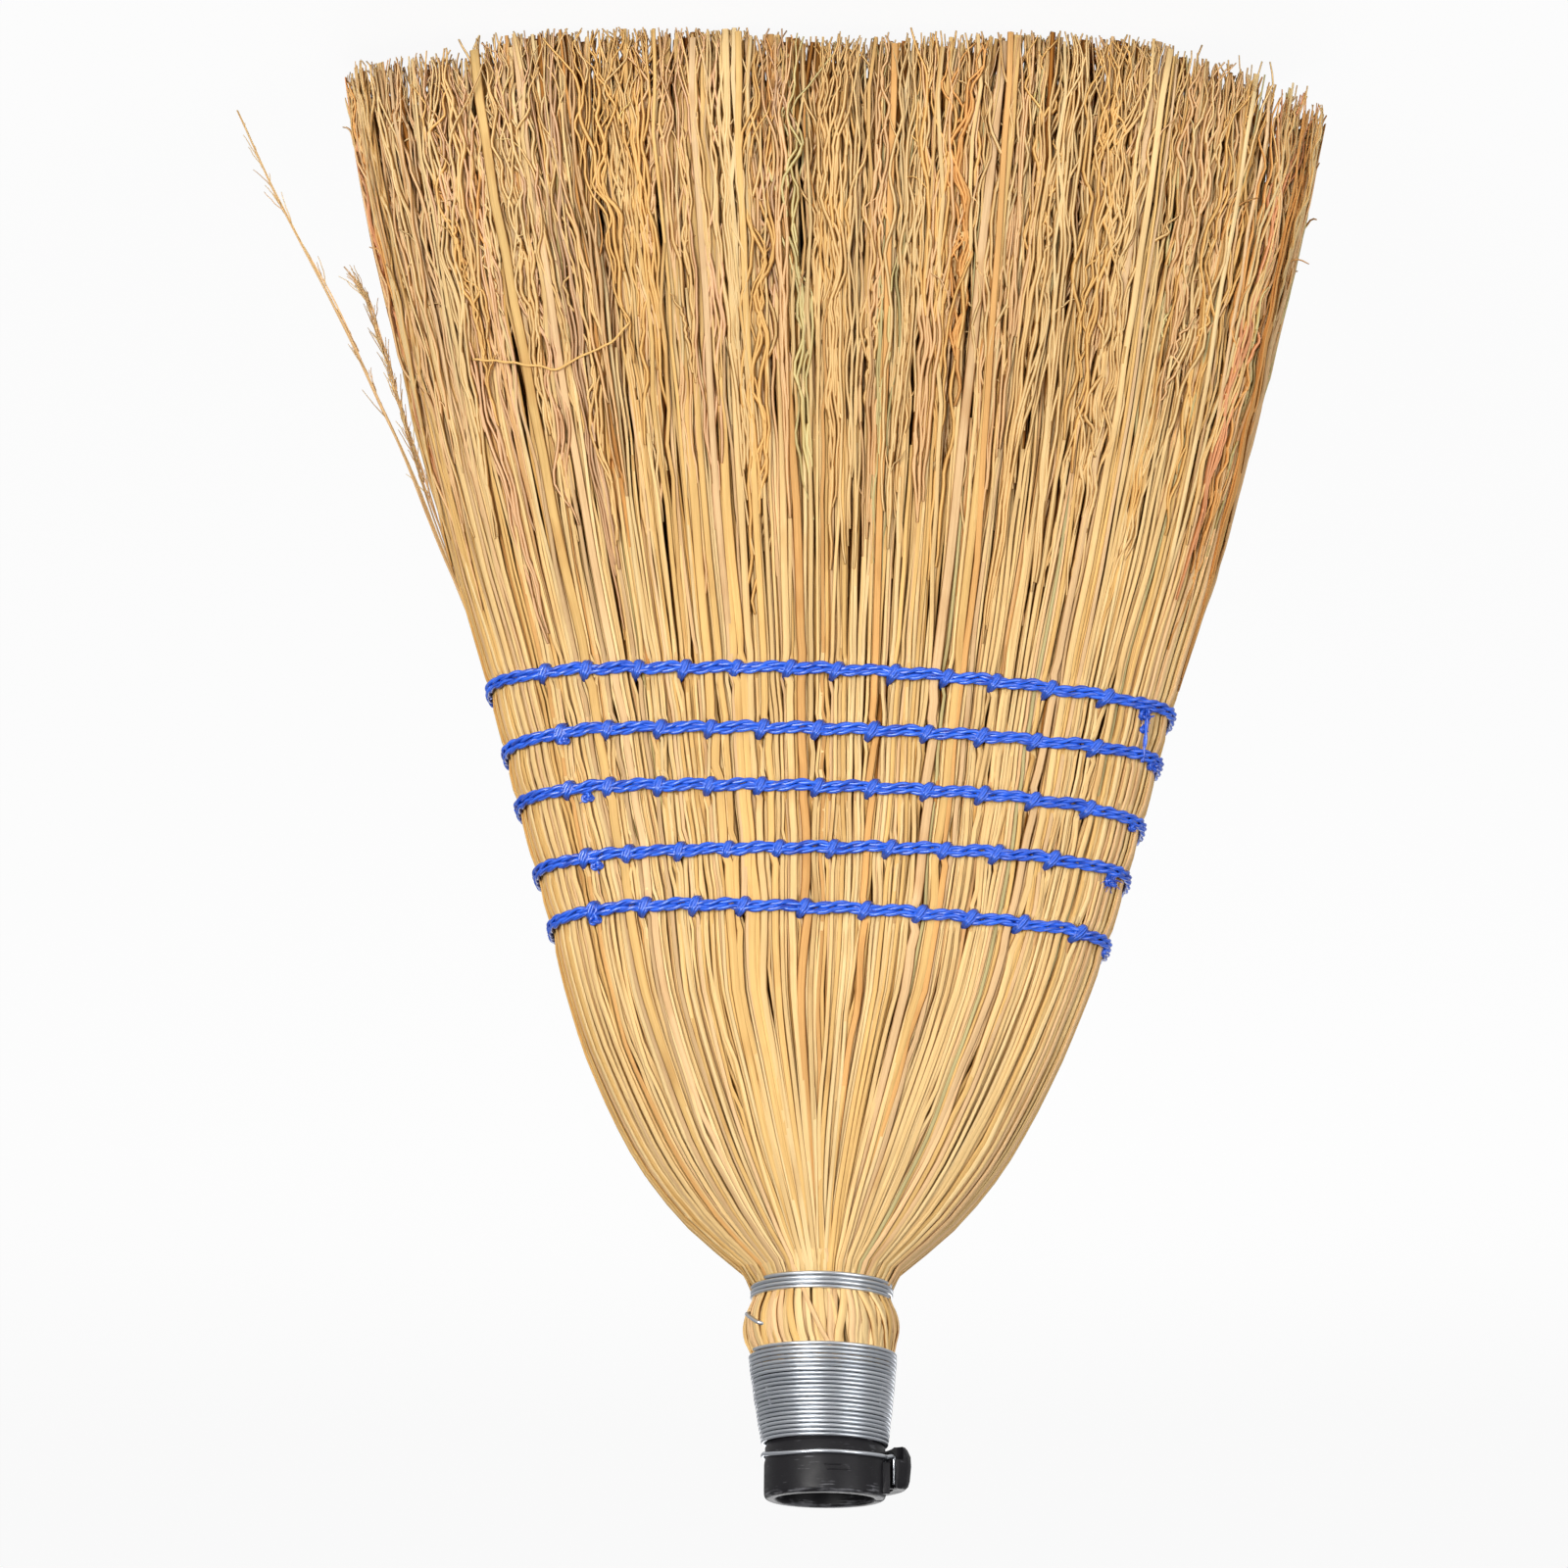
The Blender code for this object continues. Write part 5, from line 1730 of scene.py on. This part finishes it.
@dataclass(frozen=True)
class SocketSize:
    """The moulded socket. Radii and heights in mm, angles in degrees."""

    bore: float = 12.1
    sleeve: float = 13.4
    land: float = 14.55
    collar: float = 15.0
    floor: float = 331.3
    floor_top: float = 332.9
    land_start: float = 364.3
    collar_start: float = 373.9
    mouth: float = 386.6
    groove: float = 375.7
    rim: float = 1.3
    rim_proud: float = 0.06
    split_width: float = 2.0
    split_y: float = 0.4
    lug: tuple = ((-15.95, -5.2, 377.9), (-13.8, -3.6, 385.6))
    lug_edge: float = 0.35
    edge: float = 0.12
    smooth: float = 38.0
    faces: int = 144
    lines: tuple = ((-88.5, -104.5, 379.9), (-91.0, -112.0, 381.1))
    line_proud: float = 0.07
    line_radius: float = 0.2


@dataclass(frozen=True)
class ClampSize:
    """The hoop and the lever. Sizes in mm, angles in degrees.

    The hoop's unevenness is in waves, each as (size, pace, phase).
    """

    wire: float = 0.52
    wire_step: float = 0.35
    hoop_radius: float = 15.42
    hoop: tuple = (171.5, -165.0)
    hook: tuple = (2.2, 1.2)
    hook_y: float = 0.4
    front_rise: float = 1.2
    front_turn: float = 0.25
    tilt: tuple = (0.12, 2.0, 2.6)
    ripple: tuple = (0.07, 5.0, 0.0)
    pivot: tuple = (-17.0, -1.0)
    leg_bend: float = 0.9
    leg_middle: float = 380.0
    leg_end: float = 0.9
    lever: tuple = (373.2, 383.7)
    swell: tuple = (
        (0, -1.3), (0.06, -0.7), (0.22, 0.1), (0.45, 0.25), (0.8, -0.1), (0.93, -0.5), (1, -1.2),
    )
    inner: float = 17.05
    thickness: float = 4.1
    tip_thickness: float = 2.0
    tip_lip: float = 1.3
    arm: tuple = (175.5, 106.0)
    arm_steps: int = 18
    heel: tuple = (0.75, 0.45)
    barrel: float = 1.6
    groove: float = 0.9
    notch: tuple = (2.3, 376.6)
    edge: float = 0.55
    smooth: float = 40.0


# Edges that turn by more than this are rounded, in degrees.
SHARP_EDGE = 50.0


def lathe(name: str, profile: list, steps: int) -> Object:
    """A closed solid turned about Z.

    Args:
        name: the object's name.
        profile: (radius, height) points in mm, from the axis and back to it.
        steps: how many faces round the axis.

    Returns:
        The new object.
    """
    mesh = bmesh.new()
    spine = [mesh.verts.new((radius * MM, 0, height * MM)) for radius, height in profile]
    edges = [mesh.edges.new(pair) for pair in zip(spine, spine[1:], strict=False)]
    turn = {"cent": (0, 0, 0), "axis": (0, 0, 1), "angle": 2 * math.pi, "steps": steps}
    bmesh.ops.spin(mesh, geom=spine + edges, **turn)
    bmesh.ops.remove_doubles(mesh, verts=mesh.verts[:], dist=0.00002)
    bmesh.ops.recalc_face_normals(mesh, faces=mesh.faces[:])
    return made(name, mesh)


def boxed(name: str, low: tuple, high: tuple, edge: float = 0.0) -> Object:
    """A block, with rounded edges if wanted.

    Args:
        name: the object's name.
        low: its lowest corner in mm.
        high: its highest corner in mm.
        edge: how far its edges are rounded, in mm.

    Returns:
        The new object.
    """
    mesh = bmesh.new()
    bmesh.ops.create_cube(mesh, size=1.0)
    low, high = Vector(low) * MM, Vector(high) * MM
    bmesh.ops.scale(mesh, vec=high - low, verts=mesh.verts[:])
    bmesh.ops.translate(mesh, vec=(low + high) / 2, verts=mesh.verts[:])
    if edge:
        bevel = {"offset": edge * MM, "segments": 3, "profile": 0.5, "affect": "EDGES"}
        bmesh.ops.bevel(mesh, geom=mesh.edges[:], **bevel)
    return made(name, mesh)


def combine(obj: Object, other: Object, operation: str) -> None:
    """Apply a boolean.

    Args:
        obj: the object that it changes.
        other: the other object, which is then removed.
        operation: the boolean's name.
    """
    modifier = obj.modifiers.new(operation, "BOOLEAN")
    modifier.object = other
    modifier.operation = operation
    modifier.solver = "EXACT"
    apply_modifiers(obj)
    bpy.data.objects.remove(other)


def apply_modifiers(obj: Object) -> None:
    """Bake the object's modifiers into its mesh."""
    bpy.context.view_layer.update()
    graph = bpy.context.evaluated_depsgraph_get()
    data = bpy.data.meshes.new_from_object(obj.evaluated_get(graph))
    obj.modifiers.clear()
    obj.data = data


def rounded(obj: Object, width: float, segments: int) -> None:
    """Round a moulding's sharp edges.

    Args:
        obj: the moulding.
        width: how far its edges are rounded, in mm.
        segments: how many faces go round an edge.
    """
    rounding = obj.modifiers.new("edges", "BEVEL")
    rounding.width = width * MM
    rounding.segments = segments
    rounding.limit_method = "ANGLE"
    rounding.angle_limit = math.radians(SHARP_EDGE)
    apply_modifiers(obj)


def dress(obj: Object, angle: float, material: Material) -> None:
    """Smooth a moulding and give it its material.

    Args:
        obj: the moulding.
        angle: the faces that meet at less than this are smoothed, in degrees.
        material: its material.
    """
    obj.data.polygons.foreach_set("use_smooth", np.ones(len(obj.data.polygons), bool))
    mesh = bmesh.new()
    mesh.from_mesh(obj.data)
    for edge in mesh.edges:
        edge.smooth = edge.calc_face_angle(0.0) < math.radians(angle)
    mesh.to_mesh(obj.data)
    mesh.free()
    obj.data.materials.clear()
    obj.data.materials.append(material)


class Socket:
    """The black handle socket with its split collar, moulded lines and lug."""

    def __init__(self, size: SocketSize, material: Material) -> None:
        """Keep the sizes and the plastic's finish."""
        self.size = size
        self.material = material

    def profile(self) -> list[tuple[float, float]]:
        """The section of the sleeve and the collar, up the outside and down the bore.

        Returns:
            Its (radius, height) points in mm.
        """
        s = self.size
        outside = (
            (0.0, s.floor, ((0.0, 0.0),)),
            (s.sleeve, s.floor, ((-1.0, 0.0), (0.0, 1.0))),
            (s.sleeve, s.land_start, ((0.0, 0.0),)),
            (s.land, s.land_start, ((0.0, 0.0),)),
            (s.land, s.collar_start, ((0.0, -0.75),)),
            (s.collar, s.collar_start, ((-0.3, -0.35), (-0.1, 0.0))),
            (s.collar, s.groove, ((-0.1, 1.3), (0.02, 1.75), (0.10, 2.4))),
            (s.collar, s.mouth, ((0.10, -2.4),)),
        )
        inside = (
            (s.bore, s.mouth, ((0.75, 0.0), (0.35, -0.12), (0.08, -0.5), (0.0, -1.1))),
            (s.bore, s.floor_top, ((0.0, 0.0),)),
            (0.0, s.floor_top, ((0.0, 0.0),)),
        )
        rim = []
        for k in range(7):
            turn = math.pi / 2 * k / 6
            reach = s.collar + s.rim_proud - s.rim * (1 - math.cos(turn))
            rim.append((reach, s.mouth - s.rim * (1 - math.sin(turn))))
        return corners(outside) + rim + corners(inside)

    def lines(self) -> list[Strands]:
        """Two short raised lines on the front of the collar."""
        s = self.size
        lines = []
        for start, end, height in s.lines:
            turn = np.radians(np.linspace(start, end, 24))
            reach = s.collar + s.line_proud
            path = np.stack([reach * np.cos(turn), reach * np.sin(turn), np.full(24, height)], 1)
            lines.append(round_strand(path, s.line_radius))
        return lines

    def build(self) -> None:
        """Make the socket and its moulded lines."""
        s = self.size
        body = lathe("socket", self.profile(), s.faces)
        combine(body, boxed("socket_lug", *s.lug, s.lug_edge), "UNION")
        low = (-s.collar - 4, s.split_y - s.split_width / 2, s.collar_start - 0.2)
        high = (-s.bore / 2, s.split_y + s.split_width / 2, s.mouth + 4)
        combine(body, boxed("socket_split", low, high), "DIFFERENCE")
        rounded(body, s.edge, 2)
        dress(body, s.smooth, self.material)
        report(body, Slot.PLASTIC, Body.HEAD, "handle_socket")
        lines = strand_mesh("moulded_lines", self.lines(), self.material)
        report(lines, Slot.PLASTIC, Body.HEAD)


def corners(places: tuple) -> list[tuple[float, float]]:
    """A section's points from its (radius, height, offsets) corners in mm."""
    return [(radius + across, height + up) for radius, height, offsets in places for across, up in offsets]


def arc(radius: float, turns: tuple, count: int, centre: tuple = (0.0, 0.0)) -> list[tuple[float, float]]:
    """Points on an arc.

    Args:
        radius: its radius.
        turns: its first and last angle in degrees.
        count: how many points.
        centre: its middle.

    Returns:
        The (x, y) points.
    """
    x, y = centre
    angles = np.radians(np.linspace(*turns, count))
    return [(x + radius * math.cos(angle), y + radius * math.sin(angle)) for angle in angles]


class Clamp:
    """The wire hoop round the collar and the lever that draws it tight."""

    def __init__(self, size: ClampSize, wire: Material, plastic: Material) -> None:
        """Keep the sizes and the two finishes."""
        self.size = size
        self.wire = wire
        self.plastic = plastic

    def hoop_path(self) -> Array:
        """The hoop from its hook in the split, round the collar, to the upright leg."""
        s, level = self.size, SocketSize().groove
        hook = np.array([[inward - s.hoop_radius, s.hook_y, level] for inward in s.hook])
        turn = np.radians(np.linspace(*s.hoop, 120))
        front = np.clip(-np.sin(turn + s.front_turn), 0, 1) ** 0.5
        rise = s.front_rise * front + wave(turn, *s.tilt) + wave(turn, *s.ripple)
        ring = np.stack([s.hoop_radius * np.cos(turn), s.hoop_radius * np.sin(turn), level + rise], 1)
        pivot = np.array([*s.pivot, level])
        toward = unit(pivot - ring[-1])
        bend = np.radians(np.linspace(0, 90, 10))[:, None]
        up = np.array([0, 0, 1.0]) * s.leg_bend * (1 - np.cos(bend))
        leg = pivot - toward * s.leg_bend * (1 - np.sin(bend)) + up
        top = np.array([[*s.pivot, s.leg_middle], [*s.pivot, s.lever[1] - s.leg_end]])
        return np.concatenate([hook, ring, leg, top])

    def outline(self) -> list[tuple[float, float]]:
        """The lever seen from above: a clip round the wire's leg and an arm that hugs the collar."""
        s = self.size
        points = arc(s.barrel, (15, 75), 5, s.pivot) + arc(s.inner, s.arm, 18)
        tip = math.radians(s.arm[1])
        lip = s.inner + s.tip_thickness + s.tip_lip
        points.append((lip * math.cos(tip), lip * math.sin(tip)))
        for k in range(1, s.arm_steps + 1):
            t = k / s.arm_steps
            turn = math.radians(s.arm[1] + (s.arm[0] - s.arm[1]) * t)
            thinner = (s.thickness - s.tip_thickness) * (1 - math.sin(math.pi / 2 * t))
            reach = s.inner + s.thickness - thinner
            points.append((reach * math.cos(turn), reach * math.sin(turn)))
        back, side = s.heel
        points.append((s.pivot[0] - s.thickness * back, s.pivot[1] + side))
        points += arc(s.barrel, (200, 255), 5, s.pivot)
        return points + arc(s.groove, (255, 15), 16, s.pivot)

    def lever(self) -> Object:
        """The lever as a rounded moulding, crowned between its two edges."""
        s = self.size
        low, high = s.lever
        mesh = bmesh.new()
        flat = [Vector((x, y, 0)) for x, y in self.outline()]
        rings = []
        for share, swell in s.swell:
            ring = [point * (1 + swell / point.length * (point.length > s.inner + 1)) for point in flat]
            level = Vector((0, 0, low + (high - low) * share))
            rings.append([mesh.verts.new((point + level) * MM) for point in ring])
        for lower, upper in zip(rings, rings[1:], strict=False):
            for k, (first, second) in enumerate(zip(lower, upper, strict=True)):
                mesh.faces.new((lower[k - 1], first, second, upper[k - 1]))
        mesh.faces.new(rings[0][::-1])
        mesh.faces.new(rings[-1])
        bmesh.ops.recalc_face_normals(mesh, faces=mesh.faces[:])
        lever = made("lever_arm", mesh)
        radius, top = s.notch
        section = [(0, low - 2), (radius, low - 2), (radius, top), (0, top)]
        cutter = lathe("lever_notch", section, 40)
        cutter.location = (s.pivot[0] * MM, s.pivot[1] * MM, 0)
        combine(lever, cutter, "DIFFERENCE")
        rounded(lever, s.edge, 3)
        dress(lever, s.smooth, self.plastic)
        return lever

    def build(self) -> None:
        """Make the hoop and the lever."""
        strand = round_strand(resampled(self.hoop_path(), self.size.wire_step), self.size.wire, sides=12)
        report(strand_mesh("clamp_hoop", [strand], self.wire), Slot.WIRE, Body.HEAD, "clamp_wire")
        report(self.lever(), Slot.PLASTIC, Body.LEVER, "clamp_lever")


# Strays


@dataclass(frozen=True)
class StrayLine:
    """A stalk that stands off the brush, as (x, z) places in mm from its end to the brush."""

    name: str
    node: str
    line: tuple
    y: float
    width: float
    twigs: int


@dataclass(frozen=True)
class StrayHabit:
    """How the stems and the twigs of a stray lie. Sizes in mm, the radii for a stray of this width."""

    width: float = 0.55
    step: float = 3.0
    stems: int = 4
    scatter: float = 0.25
    sway: float = 0.3
    sway_turns: tuple = (9, 22)
    sway_phase: tuple = (0, 6)
    sideways: tuple = (0.86, 0.0, 0.5)
    depth_scatter: float = 0.35
    radius: tuple = ((0, 0.12), (0.15, 0.24), (1, 0.42))
    twig_steps: int = 7
    twig_places: tuple = (0.03, 0.55)
    twig_turn: float = 0.16
    twig_reach: tuple = (3, 10)
    twig_kink: float = 0.14
    twig_radius: tuple = (0.19, 0.10)


class Strays:
    """The two stalks that have sprung loose at one side."""

    lines: tuple[StrayLine, ...] = (
        StrayLine(
            "long_stray", "long_stray_straw",
            (
                (161.0, 12.9), (151.3, 34.1), (142, 51.3), (134.3, 65.5), (127.3, 79.6),
                (121.2, 93.6), (111.6, 114.4), (101.8, 138), (92.6, 159.2), (83.5, 178),
            ),
            y=0.0, width=0.55, twigs=26,
        ),
        StrayLine(
            "short_stray", "short_stray_straw",
            (
                (129.8, 57.5), (126.6, 61.0), (124.0, 65.6), (122.2, 73.7), (118.2, 83.8),
                (112.6, 103.6), (104, 128), (94, 155), (84, 176),
            ),
            y=6.0, width=0.5, twigs=120,
        ),
    )

    def __init__(self, habit: StrayHabit, straw: Material) -> None:
        """Keep the strays' habit and the straw's finish."""
        self.habit = habit
        self.straw = straw
        self.rng = np.random.default_rng(SEED + 3)

    def stems(self, stray: StrayLine, path: Array) -> Strands:
        """The stray's own stems, side by side.

        Args:
            stray: the stray.
            path: its path in mm.

        Returns:
            The stems.
        """
        rng, habit, count = self.rng, self.habit, self.habit.stems
        t = np.linspace(0, 1, len(path))[None]
        scatter = rng.normal(0, habit.scatter, (count, 1))
        pace = rng.uniform(*habit.sway_turns, (count, 1))
        sway = scatter + habit.sway * np.sin(t * pace + rng.uniform(*habit.sway_phase))
        points = path[None] + sway[..., None] * np.array(habit.sideways)
        points = points + rng.normal(0, habit.depth_scatter, (count, 1, 1)) * np.array([0, 1.0, 0])
        radius = read_off(habit.radius, t) * np.ones((count, 1)) * stray.width / habit.width
        return self.bundle(points, radius, 4)

    def twigs(self, stray: StrayLine, path: Array) -> Strands:
        """Short fine twigs that leave the stray at a small angle towards its end.

        Args:
            stray: the stray.
            path: its path in mm.

        Returns:
            The twigs.
        """
        rng, habit, count = self.rng, self.habit, stray.twigs
        start = rng.uniform(*habit.twig_places, count) * (len(path) - 1)
        base, ahead = on_path(path, start), on_path(path, np.maximum(start - 1.0, 0))
        way = unit(unit(ahead - base + 1e-6) + rng.normal(0, habit.twig_turn, (count, 3)))
        share = np.linspace(0, 1, habit.twig_steps)[None, :, None]
        reach = rng.uniform(*habit.twig_reach, (count, 1, 1)) * share
        kink = np.cumsum(rng.normal(0, habit.twig_kink, (count, habit.twig_steps, 3)), axis=1)
        points = base[:, None, :] + way[:, None, :] * reach + kink
        radius = np.linspace(*habit.twig_radius, habit.twig_steps)[None] * np.ones((count, 1))
        return self.bundle(points, radius, 3)

    def bundle(self, points: Array, radius: Array, sides: int) -> Strands:
        """Round strands in a stray's own colours.

        Args:
            points: their places in mm.
            radius: their radius at each point, in mm.
            sides: how many sides a section has.

        Returns:
            The bundle.
        """
        tints = STRAY_COLOURS.pick_along(self.rng, *points.shape[:2])
        outward = np.broadcast_to(np.array([0, -1.0, 0]), points.shape)
        return Strands.in_mm(points, outward, (radius, radius), tints, sides)

    def build(self) -> None:
        """Make both strays."""
        for stray in self.lines:
            line = np.array(stray.line)
            path = np.stack([line[:, 0], np.full(len(line), stray.y), line[:, 1]], 1)
            path = resampled(path, self.habit.step)
            bundles = [self.stems(stray, path), self.twigs(stray, path)]
            report(strand_mesh(stray.name, bundles, self.straw), Slot.STRAW, Body.HEAD, stray.node)


def on_path(path: Array, places: Array) -> Array:
    """Points on a path, at places counted in its own points."""
    return np.stack([np.interp(places, np.arange(len(path)), path[:, axis]) for axis in range(3)], 1)


# Studio


@dataclass(frozen=True)
class CameraPlan:
    """The camera. Places in mm, angles in degrees."""

    place: tuple = (11.6, -1138.0, 549.9)
    down: float = 17.0
    roll: float = 180.49
    lens: float = 105.75
    sensor: float = 36.0
    far: float = 30.0


@dataclass(frozen=True)
class Lamp:
    """A soft square lamp. Place and size in metres."""

    name: str
    place: tuple
    size: float
    power: float
    colour: tuple = (1.0, 1.0, 1.0)


class Studio:
    """The floor, the surroundings, the lamps and the camera."""

    lamps: tuple[Lamp, ...] = (
        Lamp("key", (0.7, -1.5, 0.30), 0.8, 26.0, (1.0, 0.99, 0.97)),
        Lamp("fill", (-1.3, -1.2, 0.55), 1.0, 11.0),
        Lamp("back", (-0.2, 1.5, 1.2), 1.3, 13.0),
    )
    aim: tuple = (0.0, 0.0, 0.2)
    floor_radius: float = 6.0
    floor_gap: float = 0.0004
    floor_grey: float = 0.86
    floor_white: float = 0.93
    room_light: float = 0.72
    room_greys: tuple = ((0.0, 1.0), (0.48, 0.95), (0.56, 0.5), (1.0, 0.36))
    room_blue: float = 1.02

    def __init__(self, camera: CameraPlan) -> None:
        """Keep the camera's plan."""
        self.camera = camera

    def floor(self) -> None:
        """A wide pale floor that reads as white and keeps a faint shadow."""
        mesh = bmesh.new()
        bmesh.ops.create_circle(mesh, cap_ends=True, radius=self.floor_radius, segments=96)
        obj = made("floor", mesh)
        obj.location = (0, 0, -self.floor_gap)
        shader = Shader("pale_floor")
        matt = shader.add("ShaderNodeBsdfDiffuse")
        matt.inputs["Color"].default_value = (*[self.floor_grey] * 3, 1)
        glow = shader.add("ShaderNodeEmission")
        glow.inputs["Color"].default_value = (1, 1, 1, 1)
        glow.inputs["Strength"].default_value = 1.0
        blend = shader.add("ShaderNodeMixShader")
        rays = shader.add("ShaderNodeLightPath")
        share = shader.add("ShaderNodeMath", operation="MULTIPLY")
        share.inputs[1].default_value = self.floor_white
        shader.link(rays.outputs["Is Camera Ray"], share.inputs[0])
        shader.link(share.outputs["Value"], blend.inputs["Fac"])
        shader.link(matt.outputs["BSDF"], blend.inputs[1])
        shader.link(glow.outputs["Emission"], blend.inputs[2])
        shader.link(blend.outputs["Shader"], shader.output.inputs["Surface"])
        obj.data.materials.append(shader.material)

    def surroundings(self) -> None:
        """White to the camera, and a soft grey room with a darker horizon to everything else."""
        world = bpy.data.worlds.new("studio")
        bpy.context.scene.world = world
        world.use_nodes = True
        nodes, links = world.node_tree.nodes, world.node_tree.links
        nodes.clear()
        output = nodes.new("ShaderNodeOutputWorld")
        seen = nodes.new("ShaderNodeBackground")
        seen.inputs["Color"].default_value = (1, 1, 1, 1)
        room = nodes.new("ShaderNodeBackground")
        room.inputs["Strength"].default_value = self.room_light
        place = nodes.new("ShaderNodeTexCoord")
        split = nodes.new("ShaderNodeSeparateXYZ")
        ramp = nodes.new("ShaderNodeValToRGB")
        fill_ramp(ramp, [(at, (grey, grey, grey * self.room_blue)) for at, grey in self.room_greys])
        spread = nodes.new("ShaderNodeMapRange")
        spread.inputs["From Min"].default_value = -1.0
        mix = nodes.new("ShaderNodeMixShader")
        rays = nodes.new("ShaderNodeLightPath")
        links.new(place.outputs["Generated"], split.inputs["Vector"])
        links.new(split.outputs["Z"], spread.inputs["Value"])
        links.new(spread.outputs["Result"], ramp.inputs["Fac"])
        links.new(ramp.outputs["Color"], room.inputs["Color"])
        links.new(rays.outputs["Is Camera Ray"], mix.inputs["Fac"])
        links.new(room.outputs["Background"], mix.inputs[1])
        links.new(seen.outputs["Background"], mix.inputs[2])
        links.new(mix.outputs["Shader"], output.inputs["Surface"])

    def lights(self) -> None:
        """Hang the soft lamps."""
        for lamp in self.lamps:
            data = bpy.data.lights.new(lamp.name, "AREA")
            data.shape = "SQUARE"
            data.size = lamp.size
            data.energy = lamp.power
            data.color = lamp.colour
            obj = bpy.data.objects.new(lamp.name, data)
            obj.location = lamp.place
            toward = Vector(self.aim) - Vector(lamp.place)
            obj.rotation_euler = toward.to_track_quat("-Z", "Y").to_euler()
            bpy.context.scene.collection.objects.link(obj)

    def view(self) -> None:
        """Set the camera, turned over so that the tips point up in the picture."""
        plan = self.camera
        data = bpy.data.cameras.new("camera")
        data.lens = plan.lens
        data.sensor_width = plan.sensor
        data.clip_end = plan.far
        obj = bpy.data.objects.new("camera", data)
        tilt = Matrix.Rotation(math.radians(90 - plan.down), 4, "X")
        roll = Matrix.Rotation(math.radians(plan.roll), 4, "Z")
        obj.matrix_world = Matrix.Translation(Vector(plan.place) * MM) @ tilt @ roll
        bpy.context.scene.collection.objects.link(obj)
        bpy.context.scene.camera = obj
        bpy.context.scene.view_settings.view_transform = "Standard"

    def build(self) -> None:
        """Set the whole studio."""
        self.floor()
        self.surroundings()
        self.lights()
        self.view()


def main() -> None:
    """Build every piece of the broom head and the studio."""
    logging.basicConfig(level=logging.INFO, format="%(message)s")
    shape, plan = BrushShape(), StitchPlan()
    Studio(CameraPlan()).build()
    brush = Brush(shape, plan)
    brush.build()
    Stitching(shape, plan).build()
    neck = Neck(NeckSize(), brush.material)
    neck.build()
    plastic = PlasticFinish().material("black_plastic")
    Socket(SocketSize(), plastic).build()
    Clamp(ClampSize(), neck.wire, plastic).build()
    Strays(StrayHabit(), brush.material).build()


if __name__ == "__main__":
    main()
